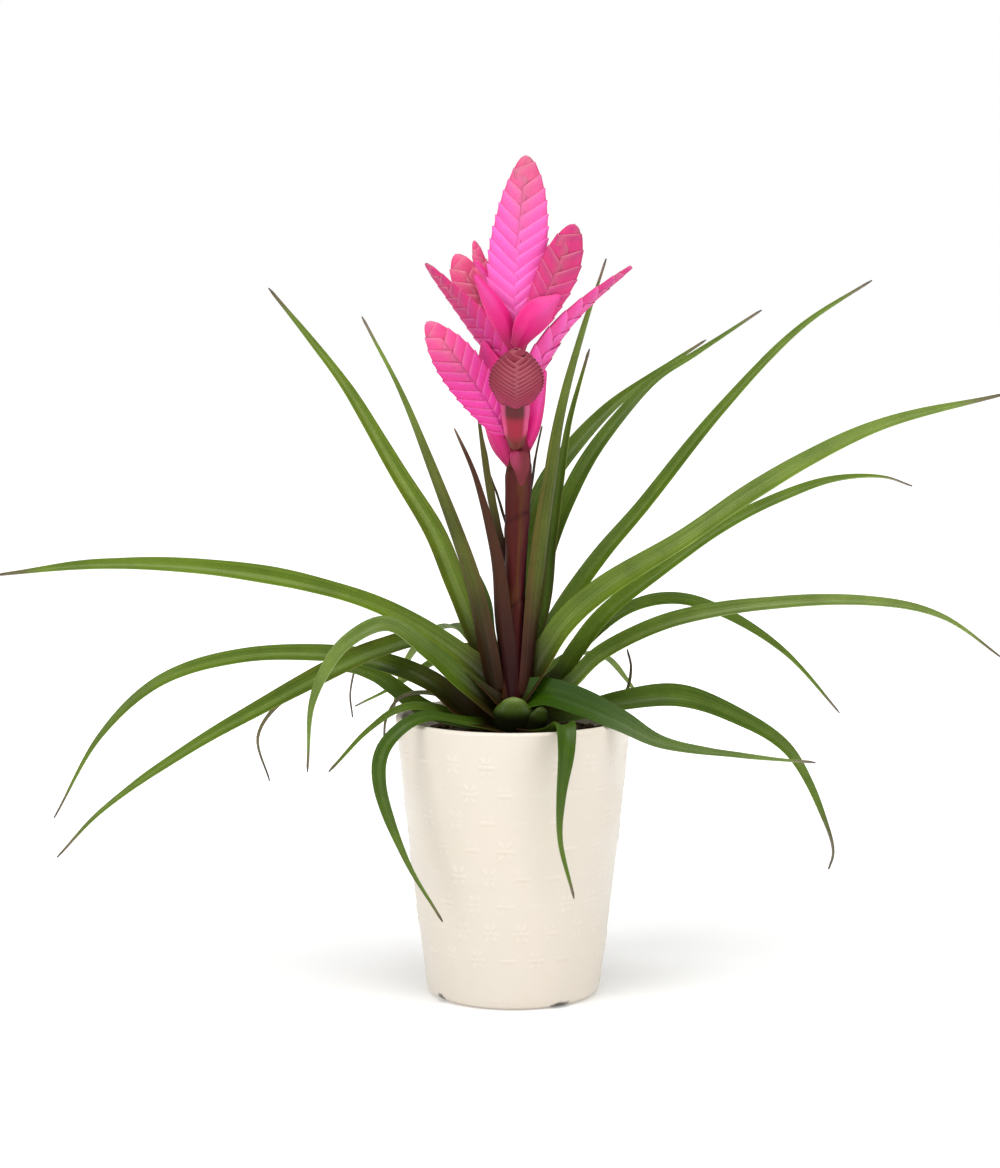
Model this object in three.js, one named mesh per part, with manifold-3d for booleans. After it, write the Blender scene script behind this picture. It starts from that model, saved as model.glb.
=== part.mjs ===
// A branched pink quill plant growing in a cream glazed pot.
// Millimetres, +Z up. The origin is the centre of the pot's flat underside.
// -Y is the front. Every spine is a list of points [x, y, z] that runs from the root to the tip.
import * as THREE from 'three';
import { mergeVertices } from 'three/addons/utils/BufferGeometryUtils.js';
import Module from 'manifold-3d';

const wasm = await Module();
wasm.setup();

// ---- driving dimensions -------------------------------------------------------------------

const GAP = 0.3; // clearance left between pieces that touch
const GAP_STEP = 0.03; // added to the clearance until a cut leaves a sound solid
const MOST_STEPS = 12;
const SNAP = 0.01; // every point lies on a grid this fine, so that no two are nearly one
const TRIM = 0.05; // how far a cut surface may be smoothed, to drop needle-thin triangles

const POT = {
  height: 126,
  rimRadius: 53,
  footRadius: 38.8, // where the wall meets the rounded bottom edge
  belly: 0.4, // how far the wall bulges at half its height
  bottomRounding: 4,
  wall: 3.2,
  floor: 5,
  innerRounding: 5, // rounding inside, between the wall and the floor
  sides: 40,
};

const FOOT_STEP = 2; // height and width of the chamfer between the inner wall and the floor

const SOIL = {
  top: 116, // at the wall
  crownRise: 2.5, // how much higher it lies round the crown
  bump: 0.9, // height of the bark chips
  rings: 4,
  edgeDepth: 2, // thickness of the loose top layer at the wall
  footRounding: 4, // how far the bottom edge is drawn in
};

const STEM = {
  sides: 8,
  spine: [
    [0, 0, 98], [-0.5, 0, 116], [-0.5, 0, 140], [0.2, 0, 169], [1.6, 0, 213],
    [2.4, 0, 245], [2, 0, 267], [1.5, 0, 291],
  ],
  radius: [5, 8.5, 5, 4.5, 5.3, 6, 3, 2.2],
  steps: 14,
};

const BLADE = {
  thickness: 0.9,
  stepLength: 17,
  fewestSteps: 5,
  mostSteps: 12,
  tipWidth: 0.8,
};

// Long leaves. width: mm across the leaf, at even steps from the root to the tip.
// turn: degrees by which the upper face turns to the front, at even steps as well.
// fold: degrees by which each half of the blade is folded up, root and tip.
const LEAVES = [
  {
    name: 'leaf_upright_left',
    spine: [
      [-3, 0, 134], [-15, 1, 157], [-25, 3, 182], [-35, 4, 207],
      [-51, 6, 233], [-73, 8, 270], [-91, 9, 294], [-109, 10, 316],
    ],
    width: [11, 10.8, 11.3, 9.3, 7, 4, 0.9],
    turn: [60, 62, 60, 55, 50],
    fold: [25, 22],
  },
  {
    name: 'leaf_upright_left_front',
    spine: [
      [-3, -3, 136], [-12, -8, 161], [-17, -9, 183], [-25, -10, 208],
      [-37, -12, 240], [-50, -15, 272], [-66, -20, 304],
    ],
    width: [11, 9.4, 8, 6, 4, 2.2, 0.9],
    turn: [-55, -60, -60, -55],
    fold: [28, 25],
  },
  {
    name: 'leaf_upright_left_back',
    spine: [[-3, 4, 136], [-10, 12, 158], [-12, 18, 175], [-21, 26, 195], [-30, 33, 205]],
    width: [7, 6, 4, 0.9],
    turn: [40, 40],
    fold: [28, 20],
  },
  {
    name: 'leaf_upright_right',
    spine: [
      [1.4, -2.4, 134], [7, -3, 160], [10.8, -2, 187], [13.6, -1, 211],
      [17, 0.5, 233], [20.5, 2, 256], [29, 4, 291], [41, 7, 329],
    ],
    width: [10, 12, 12.4, 9.6, 6.8, 4.3, 0.9],
    turn: [-50, -58, -58, -50],
    fold: [32, 28],
  },
  {
    name: 'leaf_upright_right_back',
    spine: [
      [2, 3, 136], [10, 6, 157], [15, 8, 179], [17, 9, 201], [20, 10, 224], [25, 11, 256],
      [34, 12, 289],
    ],
    width: [7, 6, 6, 4.8, 3, 0.9],
    turn: [45, 50, 50],
    fold: [30, 25],
  },
  {
    name: 'leaf_back_right_inner',
    spine: [
      [2, 5, 136], [10, 10, 167], [16, 15, 199], [26, 24, 224], [39, 36, 245],
      [65, 56, 273], [85, 70, 285], [118, 92, 305],
    ],
    width: [8, 8.5, 10, 8, 5, 2.8, 0.9],
    turn: [20, 30, 45, 50],
    fold: [32, 25],
  },
  {
    name: 'leaf_back_right_outer',
    spine: [
      [1, 5, 135], [2, 12, 167], [6, 20, 198], [14, 29, 225], [28, 42, 244], [45, 56, 261],
      [64, 72, 274], [92, 95, 291],
    ],
    width: [9, 9.5, 11, 10, 7, 3, 0.9],
    turn: [20, 30, 45, 50],
    fold: [32, 25],
  },
  {
    name: 'leaf_right_high',
    spine: [
      [2.5, 1.5, 132.5], [10, 4, 150], [25, 11, 176], [39, 18, 195], [58, 28, 216],
      [95, 46, 260], [133, 66, 297], [169, 84, 319],
    ],
    width: [11, 11, 9, 8, 6.5, 5, 3.2, 0.9],
    turn: [40, 45, 45, 40],
    fold: [35, 30],
  },
  {
    name: 'leaf_right_broad',
    spine: [
      [1, -3, 132], [12, -5, 149], [23, -8, 167], [38, -13, 182], [73, -25, 206],
      [106, -35, 230], [156, -48, 258], [207, -60, 272],
    ],
    width: [14, 18, 15, 11.5, 12, 9.5, 6, 0.9],
    turn: [50, 50, 50, 45],
    fold: [30, 26],
  },
  {
    name: 'leaf_right_middle',
    spine: [
      [2, 1, 129], [15, 2, 134], [29, 7, 154], [41, 12, 169], [66, 21, 188], [104, 35, 212],
      [146, 48, 226], [186, 60, 224],
    ],
    width: [12, 12, 10.5, 8.5, 7.8, 7, 4, 0.9],
    turn: [30, 40, 40, 30],
    fold: [35, 28],
  },
  {
    name: 'leaf_left_long',
    spine: [
      [-2, -3, 132], [-10, -5, 141], [-24, -9, 154], [-50, -15, 172], [-76, -20, 183],
      [-128, -27, 194], [-179, -33, 197], [-224, -38, 193],
    ],
    width: [14, 14, 10.5, 10, 11, 9.8, 7, 5.2, 0.9],
    turn: [60, 50, 50, 45],
    fold: [35, 25],
  },
  {
    name: 'leaf_left_drooping',
    spine: [
      [-3, 1, 132], [-15, 2, 147], [-37, -2, 160], [-59, -12, 157], [-77, -17, 150],
      [-112, -22, 132], [-147, -25, 112], [-182, -28, 87], [-201, -30, 67],
    ],
    width: [11, 12, 12, 12, 9.5, 7, 4.8, 2.6, 0.9],
    turn: [20, 45, 50, 40],
    fold: [30, 20],
  },
  {
    name: 'leaf_left_arching',
    spine: [
      [-4, -6, 123], [-19, -12, 128], [-37, -11, 142], [-60, -4, 150], [-87, 3, 153],
      [-123, 8, 151], [-160, 11, 139], [-187, 13, 114], [-209, 14, 76],
    ],
    width: [13, 14, 12.5, 10, 9, 7.8, 6.3, 2.6, 0.9],
    turn: [35, 45, 50, 40],
    fold: [30, 20],
  },
  {
    name: 'leaf_left_front_arch',
    spine: [
      [-4, -6, 127], [-24, -16, 144], [-37, -24, 157], [-56, -34, 171], [-72, -40, 164],
      [-81, -45, 153], [-87, -48, 138], [-89, -52, 109],
    ],
    width: [12, 14, 13, 11, 9.5, 8.5, 6, 2.2, 0.9],
    turn: [60, 60, 45, 30],
    fold: [30, 20],
  },
  {
    name: 'leaf_right_lower',
    spine: [
      [1, -5, 127], [15, -7, 133], [26, -8, 141], [38, -8, 153], [65, -8, 167],
      [100, -8, 175], [154, -7, 178], [190, -6, 171], [218, -6, 152],
    ],
    width: [12, 12, 12, 10.5, 9, 8, 6.5, 4, 0.9],
    turn: [25, 40, 40, 30],
    fold: [35, 25],
  },
  {
    name: 'leaf_right_back_arch',
    spine: [
      [1, 5, 131], [17, 13, 139], [32, 21, 155], [51, 32, 169], [72, 44, 173],
      [96, 56, 166], [128, 70, 145], [156, 80, 114],
    ],
    width: [9, 8, 7, 8, 8.5, 6.5, 3.5, 0.9],
    turn: [30, 40, 50, 50],
    fold: [32, 22],
  },
  {
    name: 'leaf_right_over_rim',
    spine: [
      [2, 1, 123], [28, 4, 126], [48, 5, 131], [75, 8, 133], [102, 11, 123], [125, 13, 107],
      [141, 15, 77], [146, 15, 60], [144, 15, 52],
    ],
    width: [11, 11, 11, 13, 10, 7.5, 6, 4.5, 0.9],
    turn: [30, 50, 60, 50, 30],
    fold: [25, 20],
  },
  {
    name: 'leaf_front_right',
    spine: [
      [1, -5, 134], [14, -12, 137.5], [29, -22, 134.8], [47, -34, 128.2], [64, -43, 120.5],
      [97, -56, 117], [128, -68, 116],
    ],
    width: [14, 15, 12.5, 6.8, 4, 2.4, 0.9],
    turn: [50, 55, 50, 35],
    fold: [22, 18],
  },
  {
    name: 'leaf_front_hanging',
    spine: [
      [1, -5, 123], [12, -22, 128], [19, -38, 131], [22, -51, 130], [22, -60, 119],
      [20, -60, 100], [20, -57, 80], [26, -50, 53],
    ],
    width: [11, 11, 10, 10, 8.5, 5, 3, 1.8, 0.9],
    turn: [0, 0],
    fold: [25, 20],
  },
  {
    name: 'leaf_front_left_hanging',
    spine: [
      [-3, -4, 120], [-26, -24, 127], [-37, -31, 130], [-48, -40, 127], [-57, -46, 117],
      [-58, -48, 103], [-47, -49, 71], [-31, -46, 42],
    ],
    width: [11, 9, 7, 6.5, 7, 6, 3.6, 2, 0.9],
    turn: [35, 35, 20, 10],
    fold: [25, 20],
  },
  {
    name: 'leaf_front_left_low',
    spine: [
      [-4, -3, 119], [-24, -12, 127], [-37, -17, 132], [-50, -22, 132], [-63, -27, 124],
      [-81, -34, 106],
    ],
    width: [5, 5.5, 5, 3.5, 2, 1.1],
    turn: [45, 50, 45],
    fold: [25, 20],
  },
  {
    name: 'leaf_left_curled',
    spine: [
      [-3, 2, 121], [-22, 6, 122], [-40, 10, 126.5], [-55, 12, 137], [-63, 13, 142],
      [-78, 11, 145.5], [-105, 6, 130], [-115, 4, 115], [-110, 4, 95],
    ],
    width: [10, 11, 11, 9, 5, 3.5, 2, 0.9],
    turn: [30, 45, 45, 30],
    fold: [25, 15],
  },
  {
    name: 'leaf_left_thin',
    spine: [
      [-3, 4, 130], [-22, 15, 148], [-43, 23, 157], [-58, 22, 154], [-69, 20, 149],
      [-74, 17, 134], [-73, 16, 122],
    ],
    width: [5, 5, 4, 2.5, 1.8, 1.1],
    turn: [30, 30],
    fold: [25, 15],
  },
  {
    name: 'leaf_back_left',
    spine: [[-2.5, 5.6, 130.5], [-20, 18, 152], [-35, 30, 146], [-55, 44, 132], [-74, 55, 121]],
    width: [10, 10, 7.5, 3, 0.9],
    turn: [30, 40, 40],
    fold: [28, 20],
  },
  {
    name: 'leaf_left_rim_tip',
    spine: [
      [-4, 4, 125], [-24, 8, 131], [-40, 6, 135], [-51, 3, 133], [-57, 0, 124],
      [-58, -1, 114],
    ],
    width: [5, 4.5, 3.5, 2.5, 1.1],
    turn: [30, 30],
    fold: [25, 15],
  },
  {
    name: 'leaf_right_thin_curl',
    spine: [[3, 6, 121], [26, 20, 124], [42, 24, 126], [51, 26, 131], [54, 27, 143], [52, 26, 152]],
    width: [4.5, 4, 3, 1.8, 1.1],
    turn: [30, 20],
    fold: [25, 15],
  },
  {
    name: 'leaf_back_tall',
    spine: [[0, 5, 134], [4, 22, 164], [8, 45, 186], [14, 78, 198], [22, 112, 186]],
    width: [8, 9, 8, 5, 1.1],
    turn: [0, 0],
    fold: [35, 25],
  },
  {
    name: 'leaf_back_left_long',
    spine: [
      [-1, 5, 129], [-10, 22, 144], [-24, 52, 158], [-38, 88, 152], [-52, 124, 132],
      [-60, 150, 104],
    ],
    width: [8, 9, 8, 6, 4, 1.1],
    turn: [0, 0],
    fold: [35, 22],
  },
  {
    name: 'leaf_back_hanging',
    spine: [
      [0, 5, 123], [-3, 25, 132], [-7, 48, 138], [-10, 68, 128], [-13, 84, 104],
      [-14, 92, 76],
    ],
    width: [9, 9, 8, 6, 4, 1.1],
    turn: [0, 0],
    fold: [30, 20],
  },
  {
    name: 'leaf_back_right_low',
    spine: [
      [2.5, 5.5, 121], [12, 24, 136], [28, 50, 146], [44, 78, 141], [56, 100, 126],
      [62, 110, 116],
    ],
    width: [8, 9, 8, 5, 1.1],
    turn: [0, 0],
    fold: [32, 20],
  },
];

// Short blunt leaf bases at the front of the crown.
const LEAF_BASES = [
  {
    name: 'leaf_base_front',
    spine: [[0, -7, 120], [0, -11, 126], [0, -14, 132], [0, -15, 136]],
    width: [13, 16.5, 17.5, 15.5, 8],
    turn: [0, 0],
    fold: [22, 18],
  },
  {
    name: 'leaf_base_front_right',
    spine: [[7, -8, 119], [10, -12, 124], [12, -15, 129], [13, -16, 132]],
    width: [8, 10, 10, 8.5, 4.5],
    turn: [0, 0],
    fold: [22, 18],
  },
];

// Narrow bracts that clasp the flower stem, and the boat-shaped ones under the branches.
const STEM_BRACTS = [
  {
    name: 'stem_bract_left_long',
    spine: [
      [-1.6, -4.2, 148], [-4.8, -6, 169], [-7.2, -6.8, 194], [-11, -7.5, 212],
      [-17.5, -9, 235], [-26, -11, 255],
    ],
    width: [9, 10, 8, 6.2, 4, 2.4, 1.1],
    turn: [-60, -60],
    fold: [30, 25],
  },
  {
    name: 'stem_bract_left_upper',
    spine: [[-2, 1, 192], [-6, 1.5, 203], [-9, 2.5, 216], [-12, 4, 233], [-16, 8, 261]],
    width: [7, 8, 7.5, 5.5, 0.9],
    turn: [-55, -55],
    fold: [30, 25],
  },
  {
    name: 'stem_bract_left_thin',
    spine: [[-1, 4.5, 205], [-4.5, 6, 215], [-6.5, 7, 222], [-10.5, 9, 233]],
    width: [3, 2.5, 1.8, 1.1],
    turn: [0, 0],
    fold: [20, 15],
  },
  {
    name: 'stem_bract_right_thin',
    spine: [[4.5, 3, 214], [7.8, 4, 227], [10, 5, 242], [12.7, 6, 255]],
    width: [3, 2.6, 2, 1.1],
    turn: [0, 0],
    fold: [20, 15],
  },
  {
    name: 'bract_low',
    spine: [[2.8, -4.5, 228], [2.6, -5.6, 234], [2.3, -6.2, 239.5], [1.9, -6.6, 245]],
    width: [3, 8, 12, 9],
    turn: [0, 0],
    fold: [35, 30],
  },
  {
    name: 'bract_left',
    spine: [[-0.7, -1.5, 237], [-6.6, -2.5, 247], [-10, -2, 262], [-13, -1, 279], [-15, 0, 292]],
    width: [5, 10, 12.5, 12, 9, 1.2],
    turn: [-70, -70],
    fold: [45, 40],
  },
  {
    name: 'bract_right',
    spine: [[3, 0, 240], [7.8, -1, 252], [11.2, -1, 267], [14.2, -1, 280]],
    width: [6, 11, 10, 1.2],
    turn: [-70, -70],
    fold: [45, 40],
  },
  {
    name: 'bract_front',
    spine: [[1, -6.8, 246], [0.8, -10, 251], [0.6, -12, 258], [0.6, -13, 264]],
    width: [8, 12.5, 13, 10],
    turn: [0, 0],
    fold: [40, 36],
  },
  {
    name: 'bract_boat_front',
    spine: [[0.5, -3, 290], [-4.6, -6, 301], [-10.3, -9, 311], [-17, -11, 322]],
    width: [7, 13, 10, 1.2],
    turn: [-70, -70],
    fold: [42, 36],
  },
  {
    name: 'bract_boat_back',
    spine: [[-1.2, 1.6, 297], [-4.5, 2.6, 307], [-10, 3.5, 318], [-17, 4, 328]],
    width: [6, 11, 8, 1.2],
    turn: [-70, -70],
    fold: [42, 36],
  },
  {
    name: 'bract_boat_right',
    spine: [[1.4, -6.4, 290], [6, -10.5, 298.5], [11.8, -12, 305.5], [20.4, -10, 313]],
    width: [7, 17, 17.5, 1.2],
    turn: [-70, -70],
    fold: [40, 34],
  },
];

// Flower spikes: flat paddles of overlapping folded bracts in two ranks along a rachis.
// side: direction of the paddle's width. first: where the lowest bract sits along the spine.
// pairs: bracts in each rank. outline: half widths at even steps from the root to the tip.
const SPIKES = [
  {
    name: 'spike_top',
    spine: [[1.5, 0, 288], [1.1, 0, 309], [1.5, 0, 328], [3.3, 0, 344], [5, 0, 361], [5.5, 0, 374]],
    side: [1, 0, 0],
    first: 0.03,
    pairs: 12,
    outline: [3, 8.5, 12, 13.2, 13.2, 12.6, 11, 8.2, 0.5],
  },
  {
    name: 'spike_right_upper',
    spine: [
      [2.2, -1.2, 285], [6, -4.5, 295], [12, -6.5, 307], [18, -6, 320], [23, -4.5, 333],
      [26.8, -3, 344],
    ],
    side: [0.83, 0, -0.55],
    first: 0.22,
    pairs: 7,
    outline: [2, 4, 6.2, 7.8, 9, 9.4, 7.4, 0.5],
  },
  {
    name: 'spike_right',
    spine: [[3, 2, 267], [9, 1.5, 281], [19, -1, 297], [32, -1, 310], [42, 0, 318], [52, 1, 325.5]],
    side: [0.42, 0.8, -0.42],
    first: 0.12,
    pairs: 5,
    outline: [3, 7.6, 8.4, 7, 5.6, 4.2, 2.8, 0.5],
  },
  {
    name: 'spike_back_left',
    spine: [[1, 2, 281], [-3, 9, 291], [-11, 16, 304], [-20, 22, 319], [-26, 26, 331]],
    side: [0.8, 0.1, 0.55],
    first: 0.12,
    pairs: 5,
    outline: [2, 5, 7, 7.8, 8.2, 8, 7, 0.5],
  },
  {
    name: 'spike_back',
    spine: [[1, 2, 287], [-2, 9, 297], [-7, 13, 308], [-13, 16, 322], [-17.6, 18, 337]],
    side: [0.8, 0.45, 0.35],
    first: 0.15,
    pairs: 4,
    outline: [2, 4, 5, 5, 3.5, 0.5],
  },
  {
    name: 'spike_left_upper',
    spine: [[0, 1, 281], [-10, 2, 294], [-19, 4, 305], [-29, 6, 316], [-39, 7, 327]],
    side: [0.62, -0.5, 0.55],
    first: 0.08,
    pairs: 6,
    outline: [3, 6.6, 7.4, 6.8, 5.8, 4.4, 3, 0.5],
  },
  {
    name: 'spike_left_lower',
    spine: [[-2.5, -3, 250], [-12, -7, 265.5], [-20, -9, 277], [-28, -11, 288], [-38, -12, 301.5]],
    side: [0.84, 0, 0.54],
    first: 0.03,
    pairs: 8,
    outline: [3, 6, 8, 9.4, 10, 10, 9, 6.5, 0.5],
  },
  {
    name: 'spike_front',
    spine: [[1, -3, 253], [0.8, -12, 262], [1.1, -26, 275], [1.4, -42, 290.5]],
    side: [1, 0, 0],
    first: 0.28,
    pairs: 9,
    outline: [3, 6.5, 10, 12, 12.2, 11.2, 8.5, 0.5],
  },
];

const SPIKE = {
  rachis: [1.9, 1.9, 0.8, 0.4], // radius of the rachis at even steps
  ahead: [0.3, 0.16], // how far along the spine a bract's tip lies past its root, lowest and highest
  halfDepth: 1.9, // half the thickness of a bract
  halfWidth: 0.2, // half the width of a bract over its length
  rootOffset: 0.6, // how far off the rachis line a bract starts
  rachisSteps: 6,
  rachisSides: 6,
  lengthening: 2, // how much more a grown bract gains at each end than on its sides
  curl: 0.1, // how far a bract's keel bulges outward, over its length
  stations: [
    { at: 0, swell: 0 },
    { at: 0.36, swell: 1 },
    { at: 0.78, swell: 0.72 },
    { at: 1, swell: 0 },
  ],
};

const ROUGHNESS = { glaze: 0.35, soil: 0.95, blade: 0.6, flower: 0.5 };

const COLOURS = {
  glaze: 0xece0d0,
  soil: 0x3b2a1e,
  leaf: 0x5f7f35,
  maroon: 0x5a2024,
  pink: 0xe0509a,
  magenta: 0xcf2f80,
};

// ---- geometry helpers ---------------------------------------------------------------------

const UP = new THREE.Vector3(0, 0, 1);

function toVectors(points) {
  return points.map(([x, y, z]) => new THREE.Vector3(x, y, z));
}

function spineCurve(points) {
  return new THREE.CatmullRomCurve3(toVectors(points), false, 'centripetal');
}

// The value at t (0 to 1) of a list of values at even steps.
function valueAt(values, t) {
  const place = t * (values.length - 1);
  const index = Math.min(Math.floor(place), values.length - 2);
  return THREE.MathUtils.lerp(values[index], values[index + 1], place - index);
}

function geometryFrom(positions, faces) {
  const geometry = new THREE.BufferGeometry();
  geometry.setAttribute('position', new THREE.Float32BufferAttribute(positions, 3));
  geometry.setIndex(faces);
  return geometry;
}

// A closed skin over rings of equal length, with both end rings fanned shut.
function loft(rings) {
  const count = rings[0].length;
  const positions = rings.flat().flatMap((p) => [p.x, p.y, p.z]);
  const faces = [];
  for (let r = 0; r < rings.length - 1; r += 1) {
    for (let i = 0; i < count; i += 1) {
      const a = r * count + i;
      const b = r * count + ((i + 1) % count);
      const c = b + count;
      const d = a + count;
      // opposite halves of a ring are split along mirrored diagonals, so a thin twisted
      // blade has the same triangles on both its faces
      if (i < count / 2) faces.push(a, b, c, a, c, d);
      else faces.push(a, b, d, b, c, d);
    }
  }
  const last = (rings.length - 1) * count;
  for (let i = 1; i < count - 1; i += 1) {
    faces.push(0, i + 1, i);
    faces.push(last, last + i, last + i + 1);
  }
  return geometryFrom(positions, faces);
}

// Manifold solids from three.js geometries, and back.
function solidOf(geometry) {
  const bare = geometry.clone();
  bare.deleteAttribute('normal');
  bare.deleteAttribute('uv');
  const merged = withoutSlivers(mergeVertices(snapped(bare), SNAP / 10));
  const solid = new wasm.Manifold(
    new wasm.Mesh({
      numProp: 3,
      vertProperties: new Float32Array(merged.attributes.position.array),
      triVerts: new Uint32Array(merged.index.array),
    }),
  );
  return solid.volume() < 0 ? solidOf(flipped(merged)) : solid;
}

function snapped(geometry) {
  const points = geometry.attributes.position.array;
  points.forEach((value, i) => {
    points[i] = Math.round(value / SNAP) * SNAP;
  });
  return geometry;
}

// Drops the triangles that merging has closed up, as where a ring ends in a point.
function withoutSlivers(geometry) {
  const index = Array.from(geometry.index.array);
  const kept = [];
  for (let i = 0; i < index.length; i += 3) {
    const [a, b, c] = index.slice(i, i + 3);
    if (a !== b && b !== c && c !== a) kept.push(a, b, c);
  }
  geometry.setIndex(kept);
  return geometry;
}

function flipped(geometry) {
  const index = Array.from(geometry.index.array);
  for (let i = 0; i < index.length; i += 3) [index[i], index[i + 1]] = [index[i + 1], index[i]];
  geometry.setIndex(index);
  return geometry;
}

function geometryOf(solid) {
  const mesh = solid.getMesh();
  return geometryFrom(Array.from(mesh.vertProperties), Array.from(mesh.triVerts));
}

function largestBody(solid) {
  return solid.decompose().reduce((best, body) => (body.volume() > best.volume() ? body : best));
}

// ---- pot and soil -------------------------------------------------------------------------

function wallRadius(z) {
  return THREE.MathUtils.lerp(POT.footRadius, POT.rimRadius, z / POT.height);
}

// Radius inside the wall, just above the floor.
function innerFoot() {
  return wallRadius(POT.floor) - POT.wall - FOOT_STEP;
}

function potGeometry() {
  const { height, bottomRounding: round, wall, floor, rimRadius } = POT;
  const rimRound = wall / 2;
  const profile = [new THREE.Vector2(0, 0), new THREE.Vector2(wallRadius(0) - round, 0)];
  for (const angle of [30, 60, 90]) {
    const a = THREE.MathUtils.degToRad(angle);
    const z = round * (1 - Math.cos(a));
    profile.push(new THREE.Vector2(wallRadius(z) - round * (1 - Math.sin(a)), z));
  }
  profile.push(new THREE.Vector2(wallRadius(height / 2) + POT.belly, height / 2));
  for (const angle of [0, 45, 90, 135, 180]) {
    const a = THREE.MathUtils.degToRad(angle);
    const radius = rimRadius - rimRound * (1 - Math.cos(a));
    profile.push(new THREE.Vector2(radius, height - rimRound * (1 - Math.sin(a))));
  }
  profile.push(new THREE.Vector2(innerFoot(), floor + FOOT_STEP));
  profile.push(new THREE.Vector2(innerFoot() - POT.innerRounding + FOOT_STEP, floor));
  profile.push(new THREE.Vector2(0, floor));
  return standing(new THREE.LatheGeometry(profile, POT.sides));
}

// LatheGeometry turns round Y; pieces here stand on Z.
function standing(geometry) {
  return geometry.rotateX(Math.PI / 2);
}

// Soil fills the pot to a surface of coarse bark, GAP clear of the wall and the floor.
function soilGeometry() {
  const { top, crownRise, bump, rings, edgeDepth, footRounding } = SOIL;
  const { wall, floor, rimRadius, height, sides } = POT;
  const slope = (rimRadius - wall - innerFoot()) / (height - floor);
  const innerRadius = (z) => innerFoot() + slope * (z - floor - FOOT_STEP) - GAP * 2;
  const edge = innerRadius(top);
  const surface = (radius, angle) => crownRise * (1 - radius / edge) + chip(radius, angle) * bump;
  const ringList = [];
  for (let r = 0; r < rings; r += 1) {
    const radius = edge * (1 - r / rings);
    ringList.push({ radius, z: (angle) => top + surface(radius, angle) });
  }
  const base = floor + GAP * 3;
  const lower = [
    { radius: innerRadius(base) - footRounding, z: () => base },
    { radius: innerRadius(base + footRounding) - 1, z: () => base + footRounding - 1 },
    { radius: edge, z: () => top - edgeDepth },
  ];
  const skin = [...lower, ...ringList].map(({ radius, z }) => {
    const ring = [];
    for (let i = 0; i < sides; i += 1) {
      const angle = (i / sides) * Math.PI * 2;
      ring.push(new THREE.Vector3(radius * Math.cos(angle), radius * Math.sin(angle), z(angle)));
    }
    return ring;
  });
  return loft(skin);
}

// Unevenness of the bark, between -1 and 1.
function chip(radius, angle) {
  return Math.sin(radius * 0.9 + angle * 5) * Math.cos(angle * 11 - radius * 0.4);
}

// ---- stem, blades and spikes --------------------------------------------------------------

// A round tube along a curve, whose radius is a list of values at even steps.
function tubeGeometry(spine, radius, steps, sides) {
  const curve = spineCurve(spine);
  const rings = [];
  for (let s = 0; s <= steps; s += 1) {
    const t = s / steps;
    const centre = curve.getPoint(t);
    const tangent = curve.getTangent(t);
    const across = new THREE.Vector3(1, 0, 0);
    across.addScaledVector(tangent, -across.dot(tangent)).normalize();
    const over = new THREE.Vector3().crossVectors(tangent, across);
    const size = valueAt(radius, t);
    const ring = [];
    for (let i = 0; i < sides; i += 1) {
      const angle = (i / sides) * Math.PI * 2;
      const point = centre.clone().addScaledVector(across, size * Math.cos(angle));
      ring.push(point.addScaledVector(over, size * Math.sin(angle)));
    }
    rings.push(ring);
  }
  return loft(rings);
}

// A leaf blade: a folded strip with a rib line and two edges, grown by `extra` all round.
function bladeGeometry({ spine, width, turn, fold }, extra = 0) {
  const curve = spineCurve(spine);
  const root = curve.getPoint(0);
  const outward = curve.getPoint(1).sub(root).setZ(0).normalize();
  const sideways = new THREE.Vector3().crossVectors(UP, outward);
  const turnSign = outward.x >= 0 ? 1 : -1;
  const half = BLADE.thickness / 2 + extra;
  const wanted = Math.round(curve.getLength() / BLADE.stepLength);
  const steps = THREE.MathUtils.clamp(wanted, BLADE.fewestSteps, BLADE.mostSteps);
  const rings = [];
  for (let s = 0; s <= steps; s += 1) {
    const t = s / steps;
    const centre = curve.getPointAt(t);
    const tangent = curve.getTangentAt(t);
    if (s === 0) centre.addScaledVector(tangent, -extra);
    if (s === steps) centre.addScaledVector(tangent, extra);
    const side = sideways.clone().addScaledVector(tangent, -sideways.dot(tangent)).normalize();
    const turned = THREE.MathUtils.degToRad(valueAt(turn, t)) * turnSign;
    side.applyAxisAngle(tangent, turned);
    const face = new THREE.Vector3().crossVectors(tangent, side);
    const reach = Math.max(valueAt(width, t), BLADE.tipWidth) / 2 + extra;
    const folded = THREE.MathUtils.degToRad(valueAt(fold, t));
    const level = (across, height) =>
      centre.clone().addScaledVector(side, across).addScaledVector(face, height);
    const across = reach * Math.cos(folded);
    const rise = reach * Math.sin(folded);
    const rib = -rise / 2;
    const edge = rise / 2;
    rings.push([
      level(-across, edge - half), level(0, rib - half), level(across, edge - half),
      level(across, edge + half), level(0, rib + half), level(-across, edge + half),
    ]);
  }
  return loft(rings);
}

// One folded bract: a lens between an inner edge and a keel, with points at both ends.
function bractGeometry(root, tip, outward, face, extra) {
  const along = tip.clone().sub(root);
  const length = along.length();
  const longer = SPIKE.lengthening * extra;
  along.normalize();
  const rings = SPIKE.stations.map(({ at, swell }) => {
    const centre = root.clone().addScaledVector(along, at * (length + 2 * longer) - longer);
    centre.addScaledVector(outward, SPIKE.curl * length * 4 * at * (1 - at));
    const grown = swell > 0 ? extra : 0;
    const across = SPIKE.halfWidth * length * swell + grown;
    const deep = SPIKE.halfDepth * swell + grown;
    return [
      centre.clone().addScaledVector(outward, -across),
      centre.clone().addScaledVector(face, -deep),
      centre.clone().addScaledVector(outward, across),
      centre.clone().addScaledVector(face, deep),
    ];
  });
  return loft(rings);
}

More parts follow.
